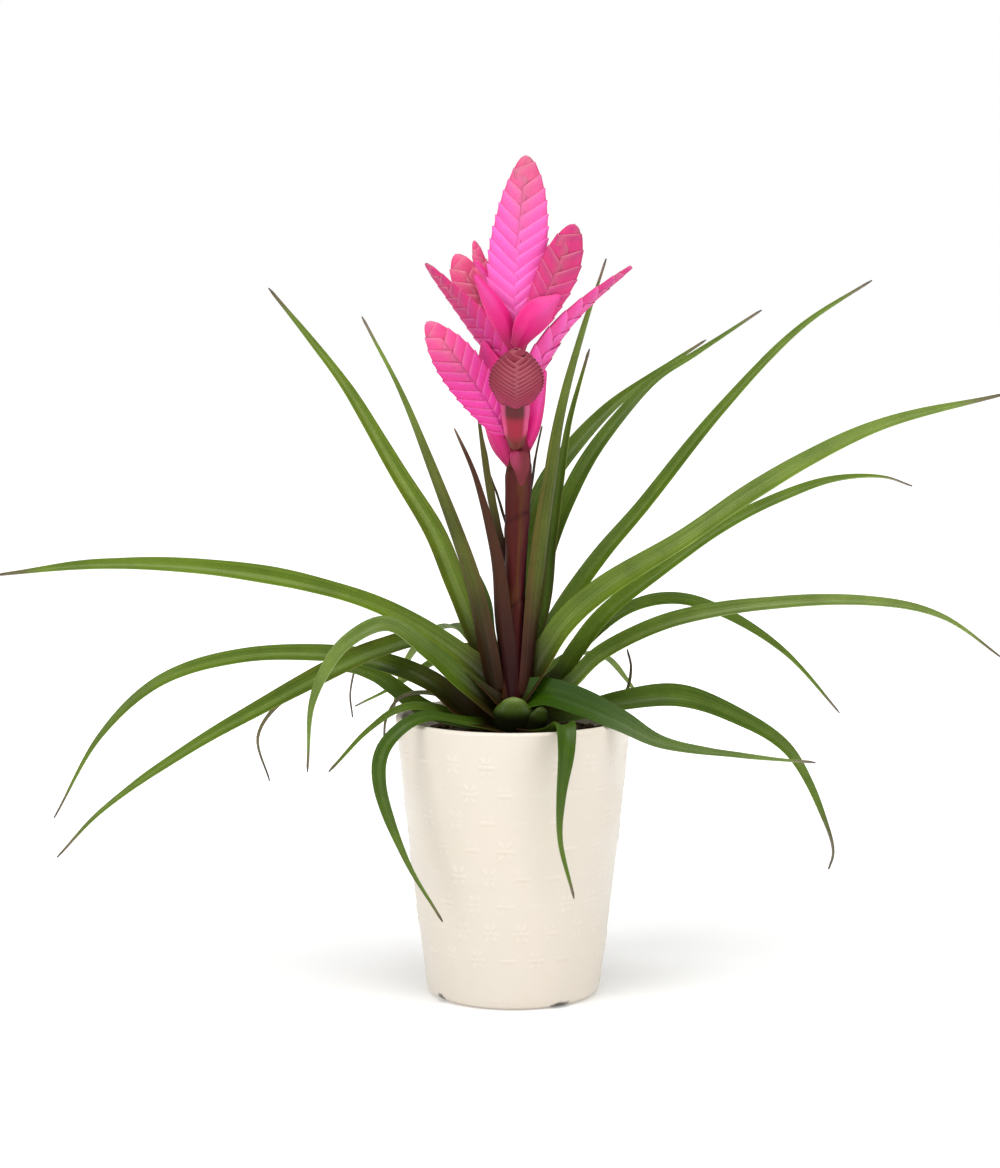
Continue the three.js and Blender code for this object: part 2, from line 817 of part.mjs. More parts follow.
// A paddle: the rachis with its two ranks of bracts, joined in one body and grown by `extra`.
function spikeSolid({ spine, side, first, pairs, outline }, extra = 0) {
  const curve = spineCurve(spine);
  const width = new THREE.Vector3(...side).normalize();
  const acrossAt = (t) => {
    const axis = curve.getTangentAt(t);
    return width.clone().addScaledVector(axis, -width.dot(axis)).normalize();
  };
  const rachis = SPIKE.rachis.map((radius) => radius + extra);
  const pieces = [solidOf(tubeGeometry(spine, rachis, SPIKE.rachisSteps, SPIKE.rachisSides))];
  const count = pairs * 2 + 1;
  for (let i = 0; i < count; i += 1) {
    const share = i / (count - 1);
    const sign = i === count - 1 ? 0 : (i % 2) * 2 - 1;
    const rootAt = THREE.MathUtils.lerp(first, 1 - SPIKE.ahead[1], share);
    const tipAt = Math.min(rootAt + THREE.MathUtils.lerp(...SPIKE.ahead, share), 1);
    const root = curve.getPointAt(rootAt).addScaledVector(acrossAt(rootAt), sign * SPIKE.rootOffset);
    const tip = curve.getPointAt(tipAt).addScaledVector(acrossAt(tipAt), sign * valueAt(outline, tipAt));
    const face = new THREE.Vector3().crossVectors(curve.getTangentAt(rootAt), acrossAt(rootAt));
    const along = tip.clone().sub(root).normalize();
    const outward = new THREE.Vector3().crossVectors(face, along).multiplyScalar(sign || 1);
    pieces.push(solidOf(bractGeometry(root, tip, outward, face, extra)));
  }
  return wasm.Manifold.union(pieces);
}

// ---- the plant ----------------------------------------------------------------------------

const plant = new THREE.Group();
plant.name = 'pink_quill_plant';

function addMesh(name, geometry, color, roughness) {
  const material = new THREE.MeshStandardMaterial({ color, roughness, metalness: 0 });
  const mesh = new THREE.Mesh(geometry, material);
  mesh.name = name;
  plant.add(mesh);
}

// Pieces are placed from the inside of the plant outwards. Each is cut back by GAP where it
// meets those already placed, as a leaf base wraps the ones inside it.
const placed = [];

// grow(extra) makes the piece's solid, larger by `extra` all round.
function place(name, grow, color, roughness) {
  const solid = grow(0);
  const box = solid.boundingBox();
  const near = placed.filter((other) => boxesMeet(box, other.reach));
  const neighbours = wasm.Manifold.union(near.map((other) => other.body));
  let body = solid;
  for (let step = 0; step < MOST_STEPS; step += 1) {
    const taken = wasm.Manifold.union(near.map((other) => other.grow(GAP + step * GAP_STEP)));
    const free = largestBody(solid.subtract(taken).simplify(TRIM));
    body = largestBody(solidOf(geometryOf(free))); // a neck that snapping pinches off is dropped
    if (isSound(body) && body.intersect(neighbours).volume() === 0) break;
  }
  placed.push({ grow, body, reach: grow(GAP).boundingBox() });
  addMesh(name, geometryOf(body), color, roughness);
}

// Whether every edge of a solid has just two faces, so that it touches itself nowhere.
function isSound(solid) {
  const { triVerts, vertProperties } = solid.getMesh();
  const corner = (v) => vertProperties.slice(v * 3, v * 3 + 3).join();
  const faces = new Map();
  triVerts.forEach((vertex, i) => {
    const next = i % 3 === 2 ? triVerts[i - 2] : triVerts[i + 1];
    const edge = [corner(vertex), corner(next)].sort().join();
    faces.set(edge, (faces.get(edge) ?? 0) + 1);
  });
  return [...faces.values()].every((count) => count === 2);
}

function boxesMeet(a, b) {
  return [0, 1, 2].every((k) => a.min[k] <= b.max[k] && b.min[k] <= a.max[k]);
}

function grownTube(extra) {
  const radius = STEM.radius.map((r) => r + extra);
  const spine = STEM.spine.map((p) => [...p]);
  spine[0][2] -= extra;
  spine[spine.length - 1][2] += extra;
  return solidOf(tubeGeometry(spine, radius, STEM.steps, STEM.sides));
}

function placeBlade(row, color) {
  place(row.name, (extra) => solidOf(bladeGeometry(row, extra)), color, ROUGHNESS.blade);
}

addMesh('pot', potGeometry(), COLOURS.glaze, ROUGHNESS.glaze);
const crownHole = grownTube(GAP);
const soilBody = solidOf(soilGeometry()).subtract(crownHole);
addMesh('soil', geometryOf(soilBody), COLOURS.soil, ROUGHNESS.soil);
place('flower_stem', grownTube, COLOURS.maroon, ROUGHNESS.blade);
for (const row of STEM_BRACTS) {
  placeBlade(row, row.name.startsWith('bract') ? COLOURS.magenta : COLOURS.maroon);
}
for (const row of SPIKES) {
  place(row.name, (extra) => spikeSolid(row, extra), COLOURS.pink, ROUGHNESS.flower);
}
for (const row of [...LEAF_BASES, ...LEAVES]) placeBlade(row, COLOURS.leaf);

export default plant;
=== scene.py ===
# A branched pink quill plant in a cream glazed pot. Metres, +Z up, -Y is the front.
# The origin is the centre of the pot's flat underside.
import math
import random
from bisect import bisect_right

import bmesh
import bpy
from mathutils import Euler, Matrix, Quaternion, Vector, noise


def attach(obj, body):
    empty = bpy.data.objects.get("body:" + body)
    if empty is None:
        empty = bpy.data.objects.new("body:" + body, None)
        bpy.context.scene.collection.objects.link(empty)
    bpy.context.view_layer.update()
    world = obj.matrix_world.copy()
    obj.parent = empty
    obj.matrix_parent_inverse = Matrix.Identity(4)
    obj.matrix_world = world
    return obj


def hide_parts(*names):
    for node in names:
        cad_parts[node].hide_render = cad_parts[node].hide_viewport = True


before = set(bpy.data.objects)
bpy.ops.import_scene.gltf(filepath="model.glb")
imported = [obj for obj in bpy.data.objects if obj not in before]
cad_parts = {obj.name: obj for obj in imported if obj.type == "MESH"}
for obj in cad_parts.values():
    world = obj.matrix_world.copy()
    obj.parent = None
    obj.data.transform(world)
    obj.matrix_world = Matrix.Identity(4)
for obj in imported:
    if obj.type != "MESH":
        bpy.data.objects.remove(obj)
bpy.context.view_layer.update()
mm = 0.001  # sizes and spines below are given in millimetres
up = Vector((0, 0, 1))
print("frame loaded:", len(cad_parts), "nodes")


# ---- colour and number helpers

def screen(*levels):
    # red, green and blue as seen on a screen, 0 to 255, in the renderer's linear scale
    shares = [level / 255 for level in levels]
    return Vector([share / 12.92 if share <= 0.04045 else ((share + 0.055) / 1.055) ** 2.4
                   for share in shares])


def palette(**tints):
    return {name: screen(*tint) for name, tint in tints.items()}


def layered(colours, base, *layers):
    # a colour, or the name of one, under layers of (name, share), each laid over the last
    colour = colours[base] if isinstance(base, str) else base
    for name, share in layers:
        colour = colour.lerp(colours[name], share)
    return colour


def ease(low, high, value):
    # 0 below low, 1 above high, smooth between
    share = min(max((value - low) / (high - low), 0.0), 1.0)
    return share * share * (3 - 2 * share)


def ridge(distance, width):
    return math.exp(-(distance / width) ** 2)


def between(values, share):
    # the value at share (0 to 1) of values at even steps, on straight lines
    place = share * (len(values) - 1)
    index = min(int(place), len(values) - 2)
    return values[index] + (values[index + 1] - values[index]) * (place - index)


def flowing(values, share):
    # as between, but rounded where the lines meet
    reach = 0.5 / (len(values) - 1)
    steps = (-0.8, -0.4, 0.0, 0.4, 0.8)
    found = [between(values, min(max(share + step * reach, 0.0), 1.0)) for step in steps]
    return sum(found[1:], found[0]) / len(steps)


def rough(point, scale, seed=0.0):
    # smooth noise, about -1 to 1
    return noise.noise(Vector(point) * scale + Vector((seed, seed * 0.7, -seed)))


# ---- curves

def pathThrough(points, fineness=24):
    # a centripetal curve through the points: its own points, close together, with their lengths
    line = [Vector(point) * mm for point in points]
    line.insert(0, line[0] * 2 - line[1])
    line.append(line[-1] * 2 - line[-2])
    places = []
    for first, start, end, last in zip(line, line[1:], line[2:], line[3:]):
        before = (start - first).length ** 0.5
        here = (end - start).length ** 0.5
        after = (last - end).length ** 0.5
        leave = (start - first) / before - (end - first) / (before + here) + (end - start) / here
        meet = (end - start) / here - (last - start) / (here + after) + (last - end) / after
        leave *= here
        meet *= here
        bend = (end - start) * 3 - leave * 2 - meet
        settle = (start - end) * 2 + leave + meet
        for step in range(fineness):
            t = step / fineness
            places.append(start + leave * t + bend * t * t + settle * t * t * t)
    places.append(line[-2].copy())
    lengths = [0.0]
    for one, two in zip(places, places[1:]):
        lengths.append(lengths[-1] + (two - one).length)
    return places, lengths


def placeOn(path, share):
    # the point and direction at a share of the curve's length
    places, lengths = path
    wanted = min(max(share, 0.0), 1.0) * lengths[-1]
    low = min(bisect_right(lengths, wanted), len(lengths) - 1) - 1
    step = lengths[low + 1] - lengths[low]
    point = places[low].lerp(places[low + 1], (wanted - lengths[low]) / step)
    back, ahead = max(low - 1, 0), min(low + 2, len(places) - 1)
    return point, (places[ahead] - places[back]).normalized()


# ---- mesh helpers

def newWork():
    # a bmesh with what every piece here carries: a colour, a thickness and a flat map
    work = bmesh.new()
    work.verts.layers.float_color.new("paint")
    work.verts.layers.deform.verify()
    work.loops.layers.uv.new("sheet")
    return work


def addSheet(work, across, along, place):
    # a grid whose points go where place(u, v) says; u is -1 to 1 across, v is 0 to 1 along
    # place gives a point, a colour, and how thick the sheet is there, 0 to 1
    paint = work.verts.layers.float_color["paint"]
    core = work.verts.layers.deform.active
    verts = bmesh.ops.create_grid(
        work, x_segments=across, y_segments=along, size=1, calc_uvs=True)["verts"]
    for vert in verts:
        vert.co, colour, weight = place(vert.co.x, (vert.co.y + 1) / 2)
        vert[paint] = (*colour, 1.0)
        vert[core][0] = weight
    return verts


def addTube(work, path, radii, sides, steps, paintAt, flat=1.0):
    # a tube along a curve, drawn to a point in the middle of both ends; flat: depth over width
    rows = steps + 2

    def place(u, v):
        row = round(v * rows)
        share = min(max(row - 1, 0), steps) / steps
        centre, ahead = placeOn(path, share)
        side = (Vector((1, 0, 0)) - ahead * ahead.x).normalized()
        over = ahead.cross(side)
        size = 0.0 if row in (0, rows) else flowing(radii, share) * mm
        angle = u * math.pi
        point = centre + (side * math.cos(angle) + over * flat * math.sin(angle)) * size
        return point, paintAt(share, angle), 1.0

    verts = addSheet(work, sides, rows, place)
    bmesh.ops.remove_doubles(work, verts=verts, dist=0.001 * mm)


def newPiece(name, work, materials, slot, *nodes, closed=False):
    # turns a bmesh into a piece that stands for some of the frame's nodes
    if closed:
        bmesh.ops.recalc_face_normals(work, faces=work.faces)
    mesh = bpy.data.meshes.new(name)
    work.to_mesh(mesh)
    work.free()
    piece = bpy.data.objects.new(name, mesh)
    piece.vertex_groups.new(name="core")
    bpy.context.scene.collection.objects.link(piece)
    for material in materials:
        mesh.materials.append(material)
    mesh.polygons.foreach_set("use_smooth", [True] * len(mesh.polygons))
    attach(piece, "root")
    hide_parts(*nodes)
    return piece


def pieceName(node):
    return node.replace("_", "-") + "-look"


# ---- shader helpers

def feed(tree, socket, value):
    if isinstance(value, bpy.types.NodeSocket):
        tree.links.new(value, socket)
    else:
        socket.default_value = (*value, 1.0) if socket.type == "RGBA" else value


def addNode(tree, kind, **settings):
    made = tree.nodes.new(kind)
    for name, value in settings.items():
        setattr(made, name, value)
    return made


def calculate(tree, operation, one, two=0.0):
    made = addNode(tree, "ShaderNodeMath", operation=operation)
    feed(tree, made.inputs[0], one)
    feed(tree, made.inputs[1], two)
    return made.outputs[0]


def remap(tree, value, low, high, toLow=0.0, toHigh=1.0, curve="SMOOTHSTEP"):
    made = addNode(tree, "ShaderNodeMapRange", interpolation_type=curve)
    for socket, given in zip(made.inputs, (value, low, high, toLow, toHigh)):
        feed(tree, socket, given)
    return made.outputs[0]


def socketCalled(sockets, identifier):
    return next(socket for socket in sockets if socket.identifier == identifier)


def mixColours(tree, share, one, two, mode="MIX"):
    made = addNode(tree, "ShaderNodeMix", data_type="RGBA", blend_type=mode)
    for identifier, value in {"Factor_Float": share, "A_Color": one, "B_Color": two}.items():
        feed(tree, socketCalled(made.inputs, identifier), value)
    return socketCalled(made.outputs, "Result_Color")


def cloudy(tree, vector, scale, detail, low, high):
    # noise, stretched so that low gives 0 and high gives 1
    made = addNode(tree, "ShaderNodeTexNoise")
    for label, value in {"Vector": vector, "Scale": scale, "Detail": detail}.items():
        feed(tree, made.inputs[label], value)
    return remap(tree, made.outputs["Fac"], low, high)


def objectPoint(tree):
    return addNode(tree, "ShaderNodeTexCoord").outputs["Object"]


def sheetPoint(tree):
    # across and along the piece's own flat map, 0 to 1
    parts = addNode(tree, "ShaderNodeSeparateXYZ")
    feed(tree, parts.inputs[0], addNode(tree, "ShaderNodeUVMap", uv_map="sheet").outputs["UV"])
    return parts.outputs["X"], parts.outputs["Y"]


def newGroup(name, inputs, outputs):
    group = bpy.data.node_groups.new(name, "ShaderNodeTree")
    for label, value in inputs.items():
        socket = group.interface.new_socket(label, in_out="INPUT", socket_type="NodeSocketFloat")
        socket.default_value = value
    for label in outputs:
        group.interface.new_socket(label, in_out="OUTPUT", socket_type="NodeSocketFloat")
    return group, addNode(group, "NodeGroupInput").outputs, addNode(group, "NodeGroupOutput").inputs


def useGroup(tree, group, values):
    made = addNode(tree, "ShaderNodeGroup", node_tree=group)
    for label, value in values.items():
        feed(tree, made.inputs[label], value)
    return dict(made.outputs.items())


# fine lines that run the length of a leaf or bract, silvery scales, and slow cloudy change
def makePlantGrain():
    group, given, result = newGroup(
        "plantGrain", {"Lines": 30.0, "Run": 2.0, "Scales": 900.0}, ["Line", "Scale", "Cloud"])
    across, along = sheetPoint(group)
    streak = addNode(group, "ShaderNodeCombineXYZ")
    feed(group, streak.inputs[0], calculate(group, "MULTIPLY", across, given["Lines"]))
    feed(group, streak.inputs[1], calculate(group, "MULTIPLY", along, given["Run"]))
    line = cloudy(group, streak.outputs[0], 1.0, 2.0, 0.3, 0.7)
    fade = remap(group, along, 0.55, 0.85)  # towards the tip the lines run together
    steady = calculate(group, "MULTIPLY", fade, calculate(group, "SUBTRACT", 0.5, line))
    feed(group, result["Line"], calculate(group, "ADD", line, steady))
    point = objectPoint(group)
    feed(group, result["Scale"], cloudy(group, point, given["Scales"], 1.0, 0.52, 0.72))
    feed(group, result["Cloud"], cloudy(group, point, 55.0, 3.0, 0.25, 0.75))
    return group


# 1 at the two long edges of a sheet, 0 inside
def makeEdgeLine():
    group, given, result = newGroup("edgeLine", {"Width": 0.1}, ["Edge"])
    wide = calculate(group, "ABSOLUTE", calculate(group, "SUBTRACT", sheetPoint(group)[0], 0.5))
    inner = calculate(group, "SUBTRACT", 0.5, given["Width"])
    feed(group, result["Edge"], remap(group, wide, inner, 0.5))
    return group


# uneven specks and stains for glaze, bark and floor
def makeMottle():
    group, given, result = newGroup(
        "mottle", {"Coarse": 30.0, "Fine": 600.0}, ["Stain", "Speck", "Both"])
    point = objectPoint(group)
    stain = cloudy(group, point, given["Coarse"], 4.0, 0.3, 0.7)
    speck = cloudy(group, point, given["Fine"], 2.0, 0.35, 0.7)
    feed(group, result["Stain"], stain)
    feed(group, result["Speck"], speck)
    feed(group, result["Both"], calculate(group, "ADD", stain, speck))
    return group


plantGrain = makePlantGrain()
edgeLine = makeEdgeLine()
mottle = makeMottle()


def newMaterial(name, finish, base=None):
    # a material over the base colour, or else over the piece's own colours. Its finish has the
    # groups whose outputs are the masks; layers of (mask or None, strength, colour, blend mode);
    # values for sockets; and mostly a roughness (mask, low, high) and a relief (mask, depth)
    material = bpy.data.materials.new(name)
    material.use_nodes = True
    tree = material.node_tree
    surface = tree.nodes["Principled BSDF"].inputs
    for label, value in finish["sockets"].items():
        feed(tree, surface[label], value)
    masks = {}
    for group, values in finish["masks"]:
        masks.update(useGroup(tree, group, values))
    colour = base or addNode(tree, "ShaderNodeAttribute", attribute_name="paint").outputs["Color"]
    for mask, strength, other, mode in finish["layers"]:
        share = calculate(tree, "MULTIPLY", masks[mask], strength) if mask else strength
        colour = mixColours(tree, share, colour, other, mode)
    feed(tree, surface["Base Color"], colour)
    if "relief" in finish:
        mask, low, high = finish["roughness"]
        feed(tree, surface["Roughness"], remap(tree, masks[mask], 0.0, 1.0, low, high))
        mask, depth = finish["relief"]
        bump = addNode(tree, "ShaderNodeBump")
        for label, value in {"Strength": 1.0, "Distance": depth * mm, "Height": masks[mask]}.items():
            feed(tree, bump.inputs[label], value)
        feed(tree, surface["Normal"], bump.outputs["Normal"])
    return material


def leafFinish(cloudMode, low, high, *firstLayers):
    # colours above 1 brighten what they multiply
    return {
        "masks": [(plantGrain, {"Lines": 34.0, "Run": 3.0, "Scales": 1500.0}),
                  (edgeLine, {"Width": 0.06})],
        "layers": [
            *firstLayers,
            # the fine lines, lightened and darkened: the leaf's own streaks, made strong to paint its
            # sheen and shade as well
            ("Line", 0.6, screen(150, 172, 90), "SOFT_LIGHT"),
            ("Line", 0.4, screen(150, 160, 110), "MULTIPLY"),
            ("Cloud", 0.32, screen(34, 52, 16), cloudMode),
            ("Scale", 0.2, (2.0, 1.9, 3.0), "MULTIPLY"),  # the silvery scales on both sides
            ("Edge", 0.55, (1.5, 1.45, 2.6), "MULTIPLY"),  # thin dry margin
        ],
        "roughness": ("Line", low, high), "relief": ("Line", 0.03),
        "sockets": {"IOR": 1.45, "Specular IOR Level": 0.22},
    }


def waxFinish(shine, lines, scaleShare, width, marginShare, margin):
    # waxy coloured bracts with fine lines, lightened as a painted sheen, and scales and a thin margin
    return {
        "masks": [(plantGrain, {"Lines": lines, "Run": 1.6, "Scales": 1300.0}),
                  (edgeLine, {"Width": width})],
        "layers": [
            ("Line", 0.3, screen(255, 190, 215), "SOFT_LIGHT"),
            ("Cloud", 0.16, screen(220, 90, 150), "MULTIPLY"),
            ("Scale", scaleShare, (1.4, 1.9, 1.6), "MULTIPLY"),
            ("Edge", marginShare, margin, "MIX"),
        ],
        "roughness": ("Line", 0.41, 0.56), "relief": ("Line", 0.05),
        "sockets": {"IOR": 1.42, "Specular IOR Level": shine, "Subsurface Weight": 0.1,
                    "Subsurface Scale": 0.6 * mm, "Subsurface Radius": (1.0, 0.35, 0.35)},
    }


glazeFinish = {
    "masks": [(mottle, {"Coarse": 26.0, "Fine": 900.0})],
    "layers": [("Stain", 0.16, screen(226, 208, 186), "MIX"),
               ("Speck", 0.04, screen(206, 186, 160), "MIX")],
    "roughness": ("Stain", 0.31, 0.46), "relief": ("Speck", 0.02),
    "sockets": {"Coat Weight": 0.25, "Coat Roughness": 0.22, "IOR": 1.5},
}
barkFinish = {
    "masks": [(mottle, {"Coarse": 180.0, "Fine": 1800.0})],
    "layers": [("Stain", 0.6, screen(30, 20, 14), "MIX"),
               ("Speck", 0.35, screen(120, 90, 62), "MIX")],
    "roughness": ("Speck", 0.75, 0.95), "relief": ("Both", 0.5), "sockets": {"IOR": 1.4},
}
underside = (None, 1.0, (1.5, 1.4, 1.9), "MULTIPLY")  # paler
brownEdge, paleEdge = screen(150, 84, 92), screen(226, 150, 160)

leafUpper = newMaterial("leafUpper", leafFinish("MIX", 0.29, 0.46))
leafUnder = newMaterial("leafUnder", leafFinish("MULTIPLY", 0.45, 0.62, underside))
spikeBract = newMaterial("spikeBract", waxFinish(0.4, 26.0, 0.2, 0.02, 0.25, brownEdge))
mauveBract = newMaterial("mauveBract", waxFinish(0.4, 22.0, 0.1, 0.025, 0.12, paleEdge))
boatBract = newMaterial("boatBract", waxFinish(0.4, 30.0, 0.15, 0.03, 0.25, brownEdge))
stemBract = newMaterial("stemBract", waxFinish(0.16, 24.0, 0.1, 0.04, 0.2, brownEdge))
creamGlaze = newMaterial("creamGlaze", glazeFinish)
barkMix = newMaterial("barkMix", barkFinish)
print("materials ready")


# ---- pot

pot = {
    "height": 126, "rimRadius": 53, "footRadius": 38.8, "belly": 0.4, "unevenness": 0.25,
    "bottomRounding": 4, "wall": 3.2, "floor": 5, "roundingStep": 15,
    "insideHeights": (115, 100, 70, 40, 12), "insideFoot": 8,
    "sides": 400, "rowHeight": 0.78,  # of the facets on the outer wall, enough for the relief
}
# besides the glaze's own colour: a painted shadow under each raised stroke of the relief and a painted
# highlight on the stroke
potColours = palette(
    glaze=(221, 212, 199), groove=(198, 182, 164), ridge=(246, 239, 228), chip=(20, 14, 12))

# a star lattice in low relief: stars in staggered rows, their flat stroke the boldest
relief = {
    "repeats": 20, "topRow": 110.8, "rowStep": 12.5, "rows": 8, "firstAngle": 4.5,
    "height": 0.52, "strokeWidth": 0.55, "from": 8, "to": 120,
    "flatStroke": 4.6, "slantFrom": 1.4, "slantTo": 5.4, "slantWidth": 0.7, "slantHeight": 0.8,
}
# two small dark marks on the glaze at the foot's edge
footMarks = [{"angle": -56, "z": 2, "size": 2.6}, {"angle": 33, "z": 1.1, "size": 5}]


def wallRadius(z):
    taper = pot["footRadius"] + (pot["rimRadius"] - pot["footRadius"]) * z / pot["height"]
    return taper + pot["belly"] * math.sin(math.pi * z / pot["height"])


def reliefAt(angle, z):
    # height of the relief, 0 to 1, at an angle (degrees from the front) and a height
    row = round((relief["topRow"] - z) / relief["rowStep"])
    if row < 0 or row >= relief["rows"]:
        return 0.0
    step = 360 / relief["repeats"]
    turned = (angle - relief["firstAngle"]) / step - (0.5 if row % 2 else 0.0)
    across = (turned - round(turned)) * math.radians(step) * wallRadius(z)
    rise = z - (relief["topRow"] - row * relief["rowStep"])
    end = relief["flatStroke"]
    flat = ridge(rise, relief["strokeWidth"]) * (1 - ease(end - 2, end, abs(across)))
    slant = 0.0
    for lean in (60, 120):
        line = math.radians(lean)
        off = across * math.sin(line) - rise * math.cos(line)
        slant = max(slant, ridge(off, relief["slantWidth"]))
    uneven = Vector((row, round(turned), 0.5))  # no two stars are pressed alike
    flat *= 0.35 + 0.65 * ease(-0.3, 0.3, rough(uneven, 3.7, 2))
    slant *= ease(-0.35, 0.15, rough(uneven, 3.3, 1))
    reach = math.hypot(across, rise)
    slant *= ease(relief["slantFrom"], relief["slantFrom"] + 1, reach)
    slant *= 1 - ease(relief["slantTo"] - 1.6, relief["slantTo"], reach)
    return max(flat, slant * relief["slantHeight"])


def potProfile():
    # half outline from the underside's centre, up the wall, over the rim and down inside
    low, rimRound = pot["bottomRounding"], pot["wall"] / 2
    outline = [(0, 0), (18, 0), (wallRadius(0) - low, 0)]
    for angle in range(pot["roundingStep"], 91, pot["roundingStep"]):
        turn = math.radians(angle)
        z = low * (1 - math.cos(turn))
        outline.append((wallRadius(z) - low * (1 - math.sin(turn)), z))
    top = pot["height"] - rimRound
    rows = round((top - low) / pot["rowHeight"])
    heights = [low + (top - low) * row / rows for row in range(1, rows)]
    outline += [(wallRadius(z), z) for z in heights]
    for angle in range(0, 181, pot["roundingStep"]):
        turn = math.radians(angle)
        outline.append((pot["rimRadius"] - rimRound * (1 - math.cos(turn)),
                        top + rimRound * math.sin(turn)))
    outline += [(wallRadius(z) - pot["wall"], z) for z in pot["insideHeights"]]
    foot, floor = pot["insideFoot"], pot["floor"]
    outline.append((wallRadius(foot) - pot["wall"] - 1.5, foot))
    return outline + [(wallRadius(floor) - pot["wall"] - 5, floor), (14, floor), (0, floor)]


def turnedOnAxis(work, outline, sides):
    # spins a half outline (radius, z in mm) all the way round and closes it
    verts = [work.verts.new((radius * mm, 0, z * mm)) for radius, z in outline]
    edges = [work.edges.new(pair) for pair in zip(verts, verts[1:])]
    bmesh.ops.spin(work, geom=verts + edges, cent=(0, 0, 0), axis=(0, 0, 1),
                   angle=math.tau, steps=sides, use_merge=True)
    bmesh.ops.remove_doubles(work, verts=work.verts, dist=0.002 * mm)
    bmesh.ops.recalc_face_normals(work, faces=work.faces)
    return work.verts.layers.float_color["paint"]


def makePot():
    work = newWork()
    paint = turnedOnAxis(work, potProfile(), pot["sides"])
    for vert in work.verts:
        radius, z = math.hypot(vert.co.x, vert.co.y) / mm, vert.co.z / mm
        angle = math.degrees(math.atan2(vert.co.x, -vert.co.y))
        layers = []
        if radius > wallRadius(z) - 1 and relief["from"] < z < relief["to"]:
            raised = reliefAt(angle, z)
            hand = pot["unevenness"] * rough(vert.co, 22, 3)
            grow = 1 + (raised * relief["height"] + hand) / radius
            vert.co.x *= grow
            vert.co.y *= grow
            # painted shadow just below each raised stroke and a painted highlight on the stroke itself
            shade = ease(0.2, 0.8, reliefAt(angle, z + 0.9)) * (1 - raised)
            layers = [("groove", 0.3 * shade), ("ridge", 0.35 * raised)]
        for chip in footMarks if z < relief["from"] else []:
            along = math.radians(angle - chip["angle"]) * radius
            away = math.hypot(along / chip["size"], (z - chip["z"]) / 1.7)
            away += 0.3 * rough(vert.co, 420, 4)
            layers.append(("chip", 1 - ease(0.7, 1.1, away)))
        vert[paint] = (*layered(potColours, "glaze", *layers), 1.0)
    return newPiece("creamPot", work, [creamGlaze], "glaze", "pot")


# ---- soil

soil = {
    "top": 116, "crownRise": 2.5, "edgeRadius": 48.0, "deep": 106, "sides": 90,
    "rings": (1, 0.94, 0.88, 0.8, 0.7, 0.6, 0.5, 0.4, 0.3, 0.2, 0.1, 0),  # over the edge's radius
    "unevenness": 0.9, "chips": 420, "chipSize": (1.6, 4.6), "paleShare": 0.12,
}
soilColours = palette(dark=(52, 36, 25), light=(104, 76, 52), pale=(146, 118, 88))


def soilHeight(radius):
    return soil["top"] + soil["crownRise"] * (1 - radius / soil["edgeRadius"])


def makeSoil():
    dice = random.Random(11)
    work = newWork()
    edge = soil["edgeRadius"]
    outline = [(0, soil["deep"]), (edge - 1.6, soil["deep"]), (edge - 0.6, soil["top"] - 2)]
    outline += [(edge * share, soilHeight(edge * share)) for share in soil["rings"]]
    paint = turnedOnAxis(work, outline, soil["sides"])
    for vert in work.verts:
        if vert.co.z > (soil["top"] - 1) * mm:
            vert.co.z += soil["unevenness"] * mm * rough(vert.co, 260, 5)
        vert[paint] = (*soilColours["dark"], 1.0)
    for _ in range(soil["chips"]):
        radius = edge * math.sqrt(dice.uniform(0.03, 0.9))
        angle = dice.uniform(0, math.tau)
        size = dice.uniform(*soil["chipSize"])
        verts = bmesh.ops.create_cube(work, size=1)["verts"]
        edges = list({line for vert in verts for line in vert.link_edges})
        made = bmesh.ops.bevel(work, geom=edges, offset=0.18, affect="EDGES", segments=1,
                               profile=0.5, material=-1)["faces"]
        verts = list({vert for face in made for vert in face.verts})
        colour = layered(soilColours, "dark", ("light", dice.random()))
        if dice.random() < soil["paleShare"]:
            colour = layered(soilColours, colour, ("pale", 0.7))
        lean = Euler((dice.uniform(-0.5, 0.5), dice.uniform(-0.5, 0.5), dice.uniform(0, 6.2)))
        shape = Vector((size, size * dice.uniform(0.4, 0.8), size * dice.uniform(0.2, 0.45)))
        centre = Vector((radius * math.cos(angle), radius * math.sin(angle),
                         soilHeight(radius) + dice.uniform(-0.1, 0.7)))
        for vert in verts:
            local = vert.co * shape * (1 + 0.22 * rough(vert.co, 2.3, angle * 7 + size))
            local.rotate(lean)
            vert.co = (centre + local) * mm
            vert[paint] = (*colour, 1.0)
    return newPiece("barkSoil", work, [barkMix], "soil", "soil")


makePot()
makeSoil()
print("pot and soil made")


# ---- flower stem

stem = {
    "spine": [(0, 0, 98), (-0.5, 0, 116), (-0.5, 0, 140), (0.2, 0, 169), (1.6, 0, 213),
              (2.4, 0, 245), (2, 0, 267), (1.5, 0, 291)],
    "radius": [5, 7.2, 4.9, 4.5, 5.3, 6, 3, 2.2], "sides": 28, "steps": 120,
    "joints": [(174, 4), (213, 3), (236, 2)],  # height and tilt of each sheath's edge, in mm
    "jointStep": 0.35, "unevenness": 0.12,
}
stemColours = palette(
    stain=(86, 56, 24), shade=(84, 36, 50), line=(34, 8, 10), crown=(40, 26, 14),
    low=(52, 17, 11), middle=(72, 26, 22), streak=(62, 17, 12), top=(190, 28, 90))


